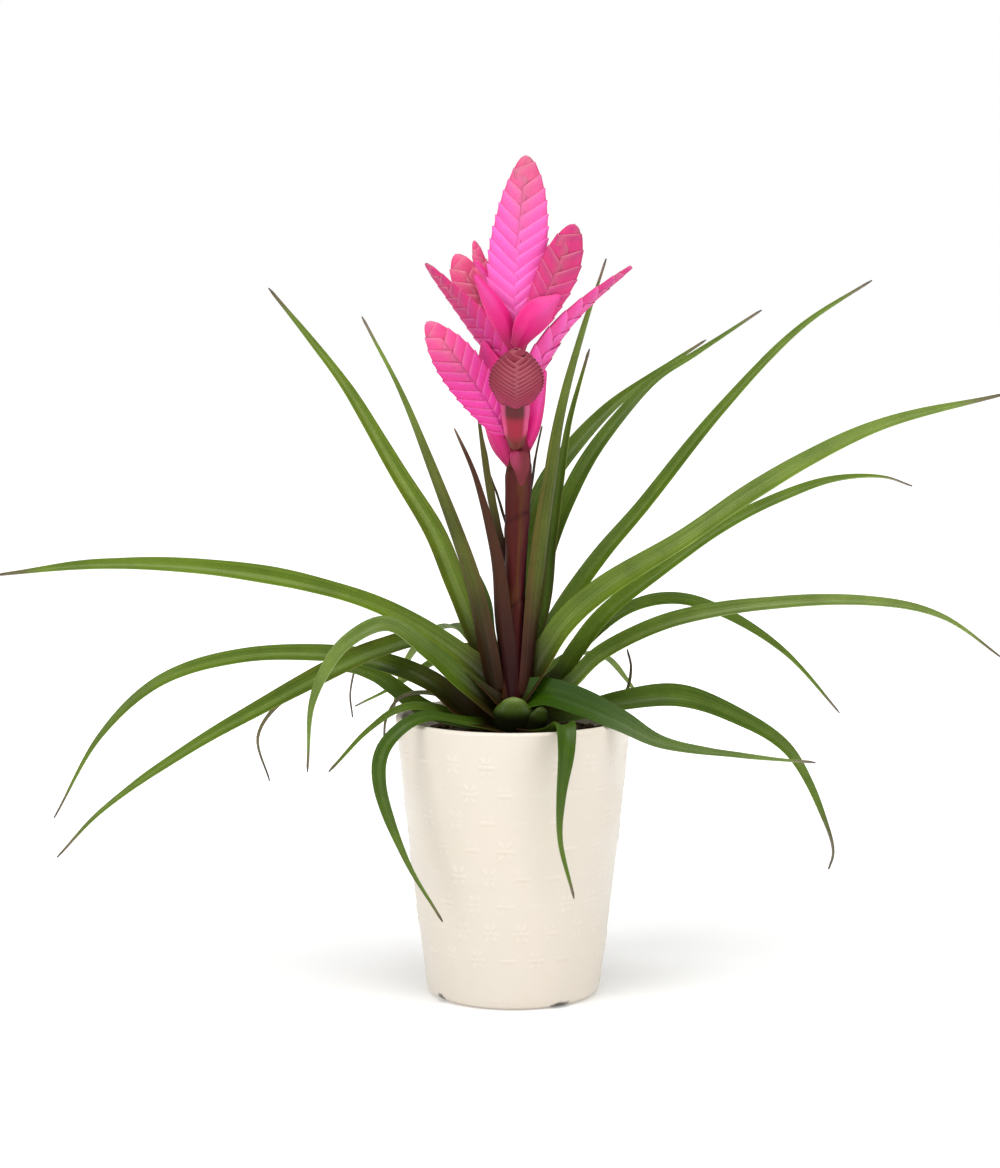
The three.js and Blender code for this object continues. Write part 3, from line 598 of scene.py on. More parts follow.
def stemPaint(share, angle):
    front = max(0.0, -math.sin(angle - 0.2)) ** 6
    # low down, dark sheaths and the crown's deep shade leave only a narrowing strip of the stem in
    # sight; the dark is their own colour with painted shade
    opening = 0.25 + 1.6 * ease(0.12, 0.36, share)
    covered = ease(opening * 0.7, opening, abs(angle + math.pi / 2)) * (1 - ease(0.3, 0.42, share))
    spot = (math.cos(angle) * 2, math.sin(angle) * 2, share * 14)
    return layered(
        stemColours, "low",
        ("middle", ease(0.25, 0.5, share)),
        ("streak", front * (1 - ease(0.4, 0.7, share))),
        ("crown", covered),
        ("stain", 0.6 * ease(0.0, 0.5, rough(spot, 0.9, 4))),
        ("shade", 0.5 * ease(0.3, 0.9, math.cos(angle))),
        ("top", ease(0.72, 0.9, share)))


def makeStem():
    work = newWork()
    addTube(work, pathThrough(stem["spine"]), stem["radius"], stem["sides"], stem["steps"],
            stemPaint)
    paint = work.verts.layers.float_color["paint"]
    for vert in work.verts:
        outward = Vector((vert.co.x, vert.co.y, 0)).normalized()
        vert.co += outward * stem["unevenness"] * mm * rough(vert.co, 160, 2)
        for height, tilt in stem["joints"]:
            past = vert.co.z / mm - height - tilt * outward.x
            swell = ease(-9, 0, past) * (1 - ease(0, 1.4, past))
            vert.co += outward * stem["jointStep"] * mm * swell
            colour = Vector(vert[paint][:3])
            dark = 0.6 * ridge(past - 1.6, 0.9)
            vert[paint] = (*layered(stemColours, colour, ("line", dark)), 1.0)
    return newPiece("flowerStem", work, [stemBract], "stem", "flower_stem", closed=True)


# ---- blades: leaves and stem bracts

def blade(spine, width, turn, fold, **looks):
    # points from the root to the tip, width in mm, turn of the upper face to the front and
    # fold of each half in degrees, at even steps, and how this one differs from the rest
    return {"spine": spine, "width": width, "turn": turn, "fold": fold, **looks}


def bladeStations(row, path, along, make):
    # where the blade's cross-section stands at each step: middle, side, face, half width, fold
    root, tip = path[0][0], path[0][-1]
    outward = Vector((tip.x - root.x, tip.y - root.y, 0)).normalized()
    sideways = up.cross(outward)
    turnSign = 1 if outward.x >= 0 else -1
    blunt, clasp = make["blunt"], row.get("clasp", make["clasp"])
    stations = []
    for share in [step / along for step in range(along + 1)]:
        middle, ahead = placeOn(path, share)
        side = (sideways - ahead * sideways.dot(ahead)).normalized()
        side.rotate(Quaternion(ahead, math.radians(flowing(row["turn"], share)) * turnSign))
        point = math.sqrt(max(1 - (max(share - 1 + blunt, 0) / blunt) ** 2, 0.02))
        half = max(flowing(row["width"], share), 0.8) / 2 * mm * point
        half *= 1 + clasp * (1 - ease(0.03, 0.14, share))
        fold = math.radians(flowing(row["fold"], share))
        stations.append((middle, side, ahead.cross(side), half, fold))
    return stations


def makeBlade(name, row, paintAt, materials, slot, make):
    work = newWork()
    path = pathThrough(row["spine"])
    along = max(round(path[1][-1] / mm / make["stepLength"]), 12)
    stations = bladeStations(row, path, along, make)
    wave = make["wave"]
    seed = row["spine"][-1][0] * 0.37

    def place(u, v):
        middle, side, face, half, fold = stations[round(v * along)]
        out = math.sin(u * math.pi / 2)  # more points near the edges
        channel = half * math.sin(fold) * (abs(out) ** 1.6 - 0.5)
        ripple = wave * mm * abs(out) ** 3 * rough((v * 9, out, seed), 1.0)
        drift = wave * 0.6 * mm * rough((v * 5, seed, 0.3), 1.0) * ease(0.1, 0.3, v)
        point = middle + side * (half * math.cos(fold) * out + drift) + face * (channel + ripple)
        return point, paintAt(out, v), 1 - abs(out) ** 4

    addSheet(work, make["across"], along, place)
    piece = newPiece(pieceName(name), work, materials, slot, name)
    wall = piece.modifiers.new("thickness", "SOLIDIFY")
    wall.thickness = make["thickness"] * mm
    wall.offset = 0
    wall.vertex_group = "core"  # thinner towards the edges
    wall.thickness_vertex_group = make["edgeShare"]
    wall.material_offset = 1
    return piece


leafColours = palette(
    sheath=(40, 34, 12), wine=(58, 22, 20), rust=(92, 46, 26), brown=(84, 68, 36),
    deep=(46, 78, 0), fresh=(118, 138, 42), far=(114, 134, 54), pale=(156, 170, 108),
    dry=(120, 108, 84), burnt=(74, 62, 50))

# tone: deep to fresh; dark: share of the length that the sheath takes, dark in its own colour and in
# painted shade of the crown; wine: the sheath's;
# rust: at the edges; the stripe down the middle is a painted highlight; dry: share of the length, at
# the tip
leafDefaults = {
    "tone": 0.5, "dark": 0.16, "dry": 0.06, "stripe": 0, "rust": 0, "brown": 0, "pale": 0,
    "wine": 0,
}


def leafPaint(row):
    looks = {**leafDefaults, **row}
    dark, dry = looks["dark"], looks["dry"]

    def paintAt(out, v):
        wide = abs(out)
        blade = layered(
            leafColours, "deep",
            ("fresh", looks["tone"]),
            ("far", 0.7 * ease(0.4, 0.95, v)),
            ("pale", looks["pale"] * ease(0.25, 0.5, v)),
            # a painted highlight down the middle
            ("pale", looks["stripe"] * (1 - ease(0.1, 0.5, wide))),
            ("brown", looks["brown"] * (1 - ease(0.5, 0.95, v))),
            ("rust", looks["rust"] * ease(0.3, 0.9, wide) * (1 - ease(0.3, 0.7, v))))
        # at the root: the sheath's own dark colour with painted shade of the crown
        sheath = layered(leafColours, "sheath", ("wine", looks["wine"]), ("rust", 0.35 * wide))
        return layered(
            leafColours, sheath.lerp(blade, ease(dark * 0.3, dark, v)),
            ("dry", ease(1 - dry * 1.4, 1 - dry * 0.5, v)),
            ("burnt", 0.8 * ease(1 - dry * 0.4, 1, v)))

    return paintAt


# wave: how far the edges ripple; blunt: share of the length over which the end is rounded;
# clasp: how much wider the root is, over the width given
leafMake = {
    "stepLength": 2.6, "across": 14, "thickness": 0.7, "edgeShare": 0.4, "wave": 0.5,
    "blunt": 0.02, "clasp": 0.25,
}

leafRows = {
    "leaf_upright_left": blade(
        [(-3, 0, 134), (-15, 1, 157), (-25, 3, 182), (-35, 4, 207), (-51, 6, 233), (-73, 8, 270),
         (-91, 9, 294), (-109, 10, 316)],
        [11, 10.8, 11.3, 9.3, 7, 4, 0.9], [60, 62, 60, 55, 50], [25, 22], tone=0.85, stripe=0.4,
        rust=0.2, dark=0.26),
    "leaf_upright_left_front": blade(
        [(-8, -3, 136), (-12.5, -8, 161), (-17, -9, 183), (-25, -10, 208), (-37, -12, 240),
         (-50, -15, 272), (-66, -20, 304)],
        [11, 9.4, 8, 6, 4, 2.2, 0.9], [-55, -60, -60, -55], [28, 25], tone=0.25, brown=0.5, rust=0.25,
        dark=0.4, wine=0.2, clasp=0),
    "leaf_upright_left_back": blade(
        [(-3, 4, 136), (-10, 12, 158), (-12, 18, 175), (-20, 26, 192), (-26, 33, 199)],
        [7, 6, 4, 0.9], [40, 40], [28, 20], tone=0.4, rust=0.3),
    "leaf_upright_right": blade(
        [(5.4, -2.4, 134), (8, -3, 160), (10.8, -2, 187), (13.6, -1, 211), (17, 0.5, 233),
         (20.5, 2, 256), (29, 4, 291), (41, 7, 329)],
        [10, 12, 12.4, 9.6, 6.8, 4.3, 0.9], [-50, -58, -58, -50], [32, 28], tone=0.25, brown=0.4,
        rust=0.4, dark=0.34, wine=0.6, clasp=0),
    "leaf_upright_right_back": blade(
        [(2, 3, 136), (10, 6, 157), (15, 8, 179), (17, 9, 201), (20, 10, 224), (25, 11, 256),
         (34, 12, 289)],
        [7, 6, 6, 4.8, 3, 0.9], [45, 50, 50], [30, 25], tone=0.4, rust=0.5, dark=0.25),
    "leaf_back_right_inner": blade(
        [(2, 5, 136), (10, 10, 167), (16, 15, 199), (26, 24, 224), (39, 36, 245), (65, 56, 273),
         (85, 70, 285), (118, 92, 305)],
        [8, 8.5, 10, 8, 5, 2.8, 0.9], [20, 30, 45, 50], [32, 25], tone=0.45),
    "leaf_back_right_outer": blade(
        [(1, 5, 135), (2, 12, 167), (6, 20, 198), (14, 29, 225), (28, 42, 244), (45, 56, 261),
         (64, 72, 274), (92, 95, 291)],
        [9, 9.5, 11, 10, 7, 3, 0.9], [20, 30, 45, 50], [32, 25], tone=0.5),
    "leaf_right_high": blade(
        [(2.5, 1.5, 132.5), (10, 4, 150), (25, 11, 176), (39, 18, 195), (58, 28, 216), (95, 46, 260),
         (133, 66, 297), (169, 84, 319)],
        [11, 11, 9, 8, 6.5, 5, 3.2, 0.9], [40, 45, 45, 40], [35, 30], tone=0.55, stripe=0.1),
    "leaf_right_broad": blade(
        [(1, -3, 132), (12, -5, 149), (23, -8, 167), (38, -13, 182), (73, -25, 206), (106, -35, 230),
         (156, -48, 258), (207, -60, 272)],
        [14, 18, 15, 11.5, 12, 9.5, 6, 0.9], [50, 50, 50, 45], [30, 26], tone=0.85, stripe=0.15,
        pale=0.2, dark=0.16),
    "leaf_right_middle": blade(
        [(2, 1, 129), (15, 2, 134), (29, 7, 154), (41, 12, 169), (66, 21, 188), (104, 35, 212),
         (146, 48, 227.5), (172, 56, 228.6), (186, 60, 224)],
        [12, 12, 10.5, 8.5, 7.8, 7, 4, 0.9], [30, 40, 40, 30], [35, 28], tone=0.6),
    "leaf_left_long": blade(
        [(-2, -3, 132), (-10, -5, 141), (-24, -9, 154), (-50, -15, 172), (-76, -20, 183),
         (-128, -27, 194), (-179, -33, 197), (-224, -38, 193)],
        [14, 14, 10.5, 10, 11, 9.8, 7, 5.2, 0.9], [60, 50, 50, 45], [35, 25], tone=0.8, stripe=0.15,
        dark=0.18),
    "leaf_left_drooping": blade(
        [(-3, 1, 132), (-15, 2, 147), (-37, -2, 160), (-59, -12, 157), (-77, -17, 150),
         (-112, -22, 132), (-147, -25, 112), (-182, -28, 87), (-201, -30, 67)],
        [11, 12, 12, 12, 9.5, 7, 4.8, 2.6, 0.9], [20, 45, 50, 40], [30, 20], tone=0.55, rust=0.25,
        stripe=0.2, dark=0.24),
    "leaf_left_arching": blade(
        [(-4, -6, 123), (-19, -12, 128), (-37, -11, 142), (-60, -4, 150), (-87, 3, 153),
         (-123, 8, 151), (-160, 11, 139), (-187, 13, 114), (-209, 14, 76)],
        [13, 14, 12.5, 10, 9, 7.8, 6.3, 2.6, 0.9], [35, 45, 50, 40], [30, 20], tone=0.6, stripe=0.15,
        dark=0.3),
    "leaf_left_front_arch": blade(
        [(-4, -6, 127), (-24, -16, 144), (-37, -24, 157), (-56, -34, 171), (-72, -40, 164),
         (-81, -45, 153), (-87, -48, 138), (-89, -52, 109)],
        [12, 14, 13, 10.5, 8.2, 6.8, 5, 2, 0.9], [60, 60, 45, 30], [30, 20], tone=0.5, dark=0.22,
        pale=0.3),
    "leaf_right_lower": blade(
        [(1, -5, 127), (15, -7, 133), (26, -8, 141), (38, -8, 153), (65, -8, 167), (100, -8, 175),
         (154, -7, 178), (190, -6, 171), (218, -6, 152)],
        [12, 12, 12, 10.5, 9, 8, 6.5, 4, 0.9], [25, 40, 40, 30], [35, 25], tone=0.6, stripe=0.3,
        pale=0.4, dark=0.15),
    "leaf_right_back_arch": blade(
        [(1, 5, 131), (17, 13, 139), (32, 21, 155), (51, 32, 169), (72, 44, 173), (96, 56, 166),
         (128, 70, 145), (156, 80, 114)],
        [9, 8, 7, 8, 8.5, 6.5, 3.5, 0.9], [30, 40, 50, 50], [32, 22]),
    "leaf_right_over_rim": blade(
        [(2, 1, 123), (28, 4, 126), (48, 5, 131), (75, 8, 133), (102, 11, 123), (125, 13, 107),
         (141, 15, 77), (146, 15, 60), (144, 15, 52)],
        [11, 11, 11, 13, 10, 7.5, 6, 4.5, 0.9], [30, 50, 60, 50, 30], [25, 20], tone=0.4, stripe=0.1,
        dry=0.12),
    "leaf_front_right": blade(
        [(1, -5, 134), (14, -12, 137.5), (29, -22, 134.8), (47, -34, 128.2), (64, -43, 120.5),
         (97, -56, 117), (128, -68, 116)],
        [14, 15, 12.5, 6.8, 4, 2.4, 0.9], [50, 55, 50, 35], [22, 18], tone=0.05, pale=0.2, dark=0.06),
    "leaf_front_hanging": blade(
        [(4, -6, 120), (13, -22, 121.5), (19, -38, 126), (22, -51, 129.6), (22, -60, 119),
         (20, -60, 100), (20, -57, 80), (26, -50, 53)],
        [11, 11, 10, 10, 8.5, 5, 3, 1.8, 0.9], [0, 0], [25, 20], tone=0.15, dark=0.2),
    "leaf_front_left_hanging": blade(
        [(-3, -4, 120), (-26, -24, 127), (-37, -31, 130), (-48, -40, 127), (-57, -46, 117),
         (-58, -48, 103), (-47, -49, 71), (-31, -46, 42)],
        [11, 9, 7, 6.5, 7, 6, 3.6, 2, 0.9], [35, 35, 20, 10], [25, 20], tone=0.2, stripe=0.1,
        dark=0.14),
    "leaf_front_left_low": blade(
        [(-4, -3, 119), (-24, -12, 127), (-37, -17, 132), (-50, -22, 132), (-63, -27, 124),
         (-81, -34, 106)],
        [5, 5.5, 5, 3.5, 2, 1.1], [45, 50, 45], [25, 20]),
    "leaf_left_curled": blade(
        [(-3, 2, 121), (-22, 6, 122), (-40, 10, 126.5), (-55, 12, 137), (-63, 13, 142),
         (-78, 11, 145.5), (-105, 6, 130), (-115, 4, 115), (-110, 4, 95)],
        [10, 11, 11, 9, 5, 3.5, 2, 0.9], [30, 45, 45, 30], [25, 15], dry=0.4),
    "leaf_left_thin": blade(
        [(-3, 4, 130), (-22, 15, 148), (-43, 23, 157), (-58, 22, 154), (-69, 20, 149), (-74, 17, 134),
         (-73, 16, 122)],
        [5, 5, 4, 2.5, 1.8, 1.1], [30, 30], [25, 15], dry=0.5),
    "leaf_back_left": blade(
        [(-2.5, 5.6, 130.5), (-20, 18, 152), (-35, 30, 146), (-55, 44, 132), (-74, 55, 121)],
        [10, 10, 7.5, 3, 0.9], [30, 40, 40], [28, 20]),
    "leaf_left_rim_tip": blade(
        [(-4, 4, 125), (-24, 8, 131), (-40, 6, 135), (-51, 3, 133), (-57, 0, 124), (-58, -1, 114)],
        [5, 4.5, 3.5, 2.5, 1.1], [30, 30], [25, 15], dry=0.5),
    "leaf_right_thin_curl": blade(
        [(3, 6, 121), (26, 20, 124), (42, 24, 126), (51, 26, 131), (54, 27, 143), (52, 26, 152)],
        [4.5, 4, 3, 1.8, 1.1], [30, 20], [25, 15], dry=0.3),
    "leaf_back_tall": blade(
        [(0, 5, 134), (4, 22, 164), (8, 45, 186), (12, 78, 198), (15, 112, 186)],
        [8, 9, 8, 5, 1.1], [0, 0], [35, 25]),
    "leaf_back_left_long": blade(
        [(-1, 5, 129), (-10, 22, 144), (-24, 52, 158), (-38, 88, 152), (-52, 124, 132),
         (-60, 150, 104)],
        [8, 9, 8, 6, 4, 1.1], [0, 0], [35, 22]),
    "leaf_back_hanging": blade(
        [(0, 5, 123), (-3, 25, 132), (-7, 48, 138), (-10, 68, 128), (-13, 84, 104), (-14, 92, 76)],
        [9, 9, 8, 6, 4, 1.1], [0, 0], [30, 20]),
    "leaf_back_right_low": blade(
        [(2.5, 5.5, 121), (12, 24, 136), (28, 50, 146), (44, 78, 141), (56, 100, 126), (62, 110, 116)],
        [8, 9, 8, 5, 1.1], [0, 0], [32, 20]),
}

makeStem()
for name, row in leafRows.items():
    makeBlade(name, row, leafPaint(row), [leafUnder, leafUpper], "leaf", leafMake)
print("stem and leaves made")

# short leaf bases in front of the crown: rounded, flattened front to back
pupMake = {"sides": 28, "steps": 26, "flat": 0.5, "blunt": 0.4}
# foot dark as painted shade, top lighter as painted light, and a painted highlight near the end; lit
# sets how much of it
pupColours = palette(foot=(28, 25, 13), top=(86, 106, 36), rim=(128, 144, 82))
pupRows = {
    "leaf_base_front": {
        "spine": [(0, -7, 120), (0, -11, 126), (0, -14, 132), (0, -15, 136)],
        "width": [14, 17.8, 19, 16.5, 8], "lit": 1.0,
    },
    "leaf_base_front_right": {
        "spine": [(7, -8, 119), (10, -12, 124), (12, -15, 129), (13, -16, 132)],
        "width": [8, 10, 10, 8.5, 4.5], "lit": 0.6,
    },
}


def makePup(name, row):
    work = newWork()
    steps, blunt, lit = pupMake["steps"], pupMake["blunt"], row["lit"]

    def radiusAt(share):
        past = max(share - 1 + blunt, 0) / blunt
        return flowing(row["width"], min(share, 0.8)) / 2 * math.sqrt(max(1 - past * past, 0.01))

    def paintAt(share, angle):
        # painted shade at the foot, painted light on top, a painted highlight near the end
        return layered(pupColours, "foot", ("top", lit * ease(0.5, 0.85, share)),
                       ("rim", 0.7 * lit * ease(0.84, 0.97, share)))

    radii = [radiusAt(step / steps) for step in range(steps + 1)]
    addTube(work, pathThrough(row["spine"]), radii, pupMake["sides"], steps, paintAt,
            pupMake["flat"])
    return newPiece(pieceName(name), work, [leafUpper], "leaf", name, closed=True)


for name, row in pupRows.items():
    makePup(name, row)

# ---- bracts on the stem and under the branches

# olive: how green a bract on the stem is
bractRows = {
    "stem_bract_left_long": blade(
        [(-0.8, -7.6, 133), (-2.4, -6.4, 150), (-4.8, -6.2, 169), (-7.2, -6.8, 194), (-11, -7.5, 212),
         (-17.5, -9, 235), (-26, -11, 255)],
        [2.6, 9, 10, 7.6, 5.8, 3.8, 2.4, 1.1], [-60, -60], [30, 25], olive=0.15),
    "stem_bract_left_upper": blade(
        [(-2, 1, 192), (-6, 1.5, 203), (-9, 2.5, 216), (-12, 4, 233), (-16, 8, 261)],
        [7, 8, 7.5, 5.5, 0.9], [-55, -55], [30, 25], olive=0.8),
    "stem_bract_left_thin": blade(
        [(-1, 4.5, 205), (-4.5, 6, 215), (-6.5, 7, 222), (-10.5, 9, 233)],
        [3, 2.5, 1.8, 1.1], [0, 0], [20, 15], olive=0.5),
    "stem_bract_right_thin": blade(
        [(4.5, 3, 214), (7.8, 4, 227), (10, 5, 242), (12.7, 6, 255)],
        [3, 2.6, 2, 1.1], [0, 0], [20, 15], olive=0.5),
    "bract_low": blade(
        [(2.8, -4.5, 228), (2.6, -5.6, 234), (2.3, -6.2, 239.5), (1.9, -6.6, 245)],
        [3, 8, 12, 9], [0, 0], [35, 30]),
    "bract_left": blade(
        [(-0.7, -1.5, 237), (-6.6, -2.5, 247), (-9, -2, 262), (-11, -1, 279), (-13.4, 0, 293)],
        [5, 10, 14, 16, 15, 1.2], [-70, -70], [30, 20]),
    "bract_right": blade(
        [(3, 0, 240), (7.8, -1, 252), (11.2, -1, 267), (14.2, -1, 280)],
        [6, 11, 10, 1.2], [-70, -70], [45, 40]),
    "bract_front": blade(
        [(1, -6.8, 246), (0.8, -10, 251), (0.6, -12, 258), (0.6, -14, 267)],
        [8, 12.5, 14, 16, 16], [0, 0], [40, 36]),
    "bract_boat_front": blade(
        [(0.5, -3, 290), (-4.6, -6, 301), (-10.3, -9, 311), (-17, -11, 322)],
        [7, 13, 10, 1.2], [-70, -70], [42, 36]),
    "bract_boat_back": blade(
        [(-1.2, 1.6, 297), (-4.5, 2.6, 307), (-10, 3.5, 318), (-17, 4, 328)],
        [6, 11, 8, 1.2], [-70, -70], [42, 36]),
    "bract_boat_right": blade(
        [(1.4, -6.4, 290), (6, -10.5, 298.5), (11.8, -12, 305.5), (20.4, -10, 313)],
        [7, 17, 17.5, 1.2], [-70, -70], [40, 34]),
}

bractColours = palette(
    maroonFoot=(44, 17, 18), maroon=(62, 22, 24), olive=(84, 92, 38), dry=(120, 108, 84),
    magentaFoot=(160, 18, 84), magenta=(216, 26, 124), lip=(244, 104, 166), mauve=(204, 92, 168),
    brown=(104, 46, 40), red=(150, 24, 52), dark=(70, 20, 22), rose=(164, 48, 92),
    stain=(104, 28, 38))

bractMake = {
    "stepLength": 1.0, "across": 16, "thickness": 0.6, "edgeShare": 0.4, "wave": 0.25,
    "blunt": 0.04, "clasp": 0,
}


def stemBractPaint(olive):
    def paintAt(out, v):
        green = layered(bractColours, "maroon", ("olive", olive))
        colour = bractColours["maroonFoot"].lerp(green, ease(0.05, 0.55, v))
        return layered(bractColours, colour, ("dry", 0.6 * ease(0.9, 1.0, v)))
    return paintAt


# magenta from the foot up, a paler mauve patch in the middle that is a painted sheen, and pink margins
def boatBractPaint(out, v):
    return layered(
        bractColours, "magentaFoot",
        ("magenta", ease(0.0, 0.4, v)),
        ("mauve", 0.5 * ease(0.4, 0.75, v) * (1 - abs(out))),
        ("lip", 0.35 * ease(0.86, 1.0, abs(out))))


def frontBractPaint(out, v):
    # under the foremost spike: red inside pale margins, brown at its foot, dark at the top as painted
    # shadow of the spike above
    return layered(
        bractColours, "brown",
        ("red", ease(0.12, 0.36, v)),
        ("dark", 0.9 * ease(0.55, 0.75, v)),
        ("lip", 0.5 * ease(0.6, 0.75, abs(out)) * ease(0.2, 0.4, v)))


def lowBractPaint(out, v):
    # red over the maroon stem, pink towards the tip and along the left margin
    return layered(
        bractColours, "stain",
        ("rose", 0.8 * ease(0.3, 0.8, v) * (1 - ease(-0.2, 0.6, out))),
        ("lip", 0.5 * ease(0.8, 0.95, -out)))


bractPaints = {"bract_front": frontBractPaint, "bract_low": lowBractPaint}

for name, row in bractRows.items():
    if "olive" in row:
        makeBlade(name, row, stemBractPaint(row["olive"]), [stemBract, stemBract], "stem", bractMake)
    else:
        paintAt = bractPaints.get(name, boatBractPaint)
        makeBlade(name, row, paintAt, [boatBract, boatBract], "bract", bractMake)
print("bracts made")

# ---- flower spikes: folded bracts in two ranks, each clasping the foot of the next

# side: across the paddle; outline: half widths in mm and tints: colours, both at even steps
# from the foot to the tip; first: share of the spine before the lowest bract's root;
# strength: how far the bracts stand out from one another
spikeRows = {
    "spike_top": dict(
        spine=[(1.5, 0, 288), (1.1, 0, 309), (1.5, 0, 328), (3.3, 0, 344), (5, 0, 361), (5.5, 0, 374)],
        side=(1, 0, 0), outline=[3, 8.5, 12, 13.2, 13.2, 12.6, 11, 8.2, 0.5], first=0.03, bracts=29,
        strength=0.65, tints=["low", "hot", "hot", "hot", "coral"]),
    "spike_right_upper": dict(
        spine=[(2.2, -1.2, 285), (6, -4.5, 295), (12, -6.5, 307), (18, -6, 320), (23, -4.5, 333),
               (26.8, -3, 344)],
        side=(0.83, 0, -0.55), outline=[2, 4, 6.2, 7.8, 9, 9.4, 7.4, 0.5], first=0.22, bracts=15,
        strength=0.9, tints=["low", "low", "mauve", "mauve"]),
    "spike_right": dict(
        spine=[(3, 2, 267), (9, 1.5, 281), (19, -1, 297), (32, -1, 310), (42, 0, 318), (52, 1, 325.5)],
        side=(0.42, 0.8, -0.42), outline=[3, 7.6, 8.4, 7, 5.6, 4.2, 2.8, 0.5], first=0.12, bracts=15,
        strength=1, tints=["low", "hot", "mauve"]),
    "spike_back_left": dict(
        spine=[(1, 2, 281), (-3, 9, 291), (-11, 16, 304), (-20, 22, 319), (-26, 26, 331)],
        side=(0.8, 0.1, 0.55), outline=[2, 5, 7, 7.8, 8.2, 8, 7, 0.5], first=0.12, bracts=19,
        strength=1, tints=["low", "salmon", "salmon"]),
    "spike_back": dict(
        spine=[(1, 2, 287), (-2, 9, 297), (-7, 13, 308), (-13, 16, 322), (-17.6, 18, 337)],
        side=(0.8, 0.45, 0.35), outline=[2, 4, 5, 5, 3.5, 0.5], first=0.15, bracts=15, strength=1,
        tints=["low", "salmon", "salmon"]),
    "spike_left_upper": dict(
        spine=[(0, 1, 281), (-10, 2, 294), (-19, 4, 305), (-29, 6, 316), (-39, 7, 327)],
        side=(0.62, -0.5, 0.55), outline=[3, 6.6, 7.4, 6.8, 5.8, 4.4, 3, 0.5], first=0.08, bracts=19,
        strength=1, tints=["low", "lilac", "mauve", "mauve"]),
    "spike_left_lower": dict(
        spine=[(-2.5, -3, 250), (-12, -7, 265.5), (-20, -9, 277), (-28, -11, 288), (-38, -12, 301.5)],
        side=(0.84, 0, 0.54), outline=[3, 6, 8, 9.4, 10, 10, 9, 6.5, 0.5], first=0.03, bracts=23,
        strength=0.9, tints=["low", "lilac", "lilac", "salmon"]),
    "spike_front": dict(
        spine=[(1, -3, 253), (0.8, -12, 262), (1.1, -26, 275), (1.4, -42, 290.5)],
        side=(1, 0, 0), outline=[3, 4.5, 6, 9.2, 12.4, 12, 9, 0.5], first=0.28, bracts=32,
        strength=0.4, tints=["wine", "wine", "brown", "brown"]),
}

spikeMake = {
    "across": 14, "along": 18,  # cells of one bract's sheet
    "firstTip": 0.1,  # how far along the spine the lowest tip lies past the first root
    "slant": 50,  # degrees between a bract's upper margin and the rachis
    "overlap": 1.1, "capReach": 8,  # how far a bract reaches past the rachis; the last ones more
    "rise": 0.45,  # share of a bract's length in which its keel reaches the outline
    "foot": 0.12, "lowFoot": 0.35,  # where its keel starts, over the outline's half width
    "hidden": 3.2,  # length of a bract under its neighbours, over the step between tips
    "halfDepth": 2.4, "leastDepth": 0.4,
    "faceStep": 0.2, "keelStep": 0.1,  # from one bract to the next one inside it
    "tipOut": 0.05,  # how far a bract's tip stands out of the outline, over the half width
    "thickness": 0.2,
    "outline": 0.96, "blunt": 0.2,  # share of the half width, and of the length that is rounded
    "tipJitter": 0.12, "tintJitter": 0.06, "steady": 4,  # the last few tips keep their places
    "rachis": [1.7, 1.4, 0.7, 0.3], "rachisSides": 12, "rachisSteps": 16,
}
spikeColours = palette(
    hot=(250, 104, 199), low=(226, 52, 144), coral=(190, 108, 124), mauve=(168, 54, 108),
    salmon=(220, 98, 140), brown=(124, 34, 54), lilac=(222, 62, 164), stalk=(150, 22, 56),
    keel=(212, 34, 110), keelBrown=(128, 40, 66), edge=(130, 38, 70), seam=(196, 112, 120),
    rim=(236, 150, 170), wine=(158, 30, 80))


def spikeHalfWidth(row, share):
    # in mm; the row's outline, with a rounded end
    outline = row["outline"][:-1] + [row["outline"][-2] * 0.8]
    past = min(max((share - 1) / spikeMake["blunt"] + 1, 0.0), 1.0)
    rounded = math.sqrt(1 - past * past)
    return max(flowing(outline, share) * rounded * spikeMake["outline"], 0.1)


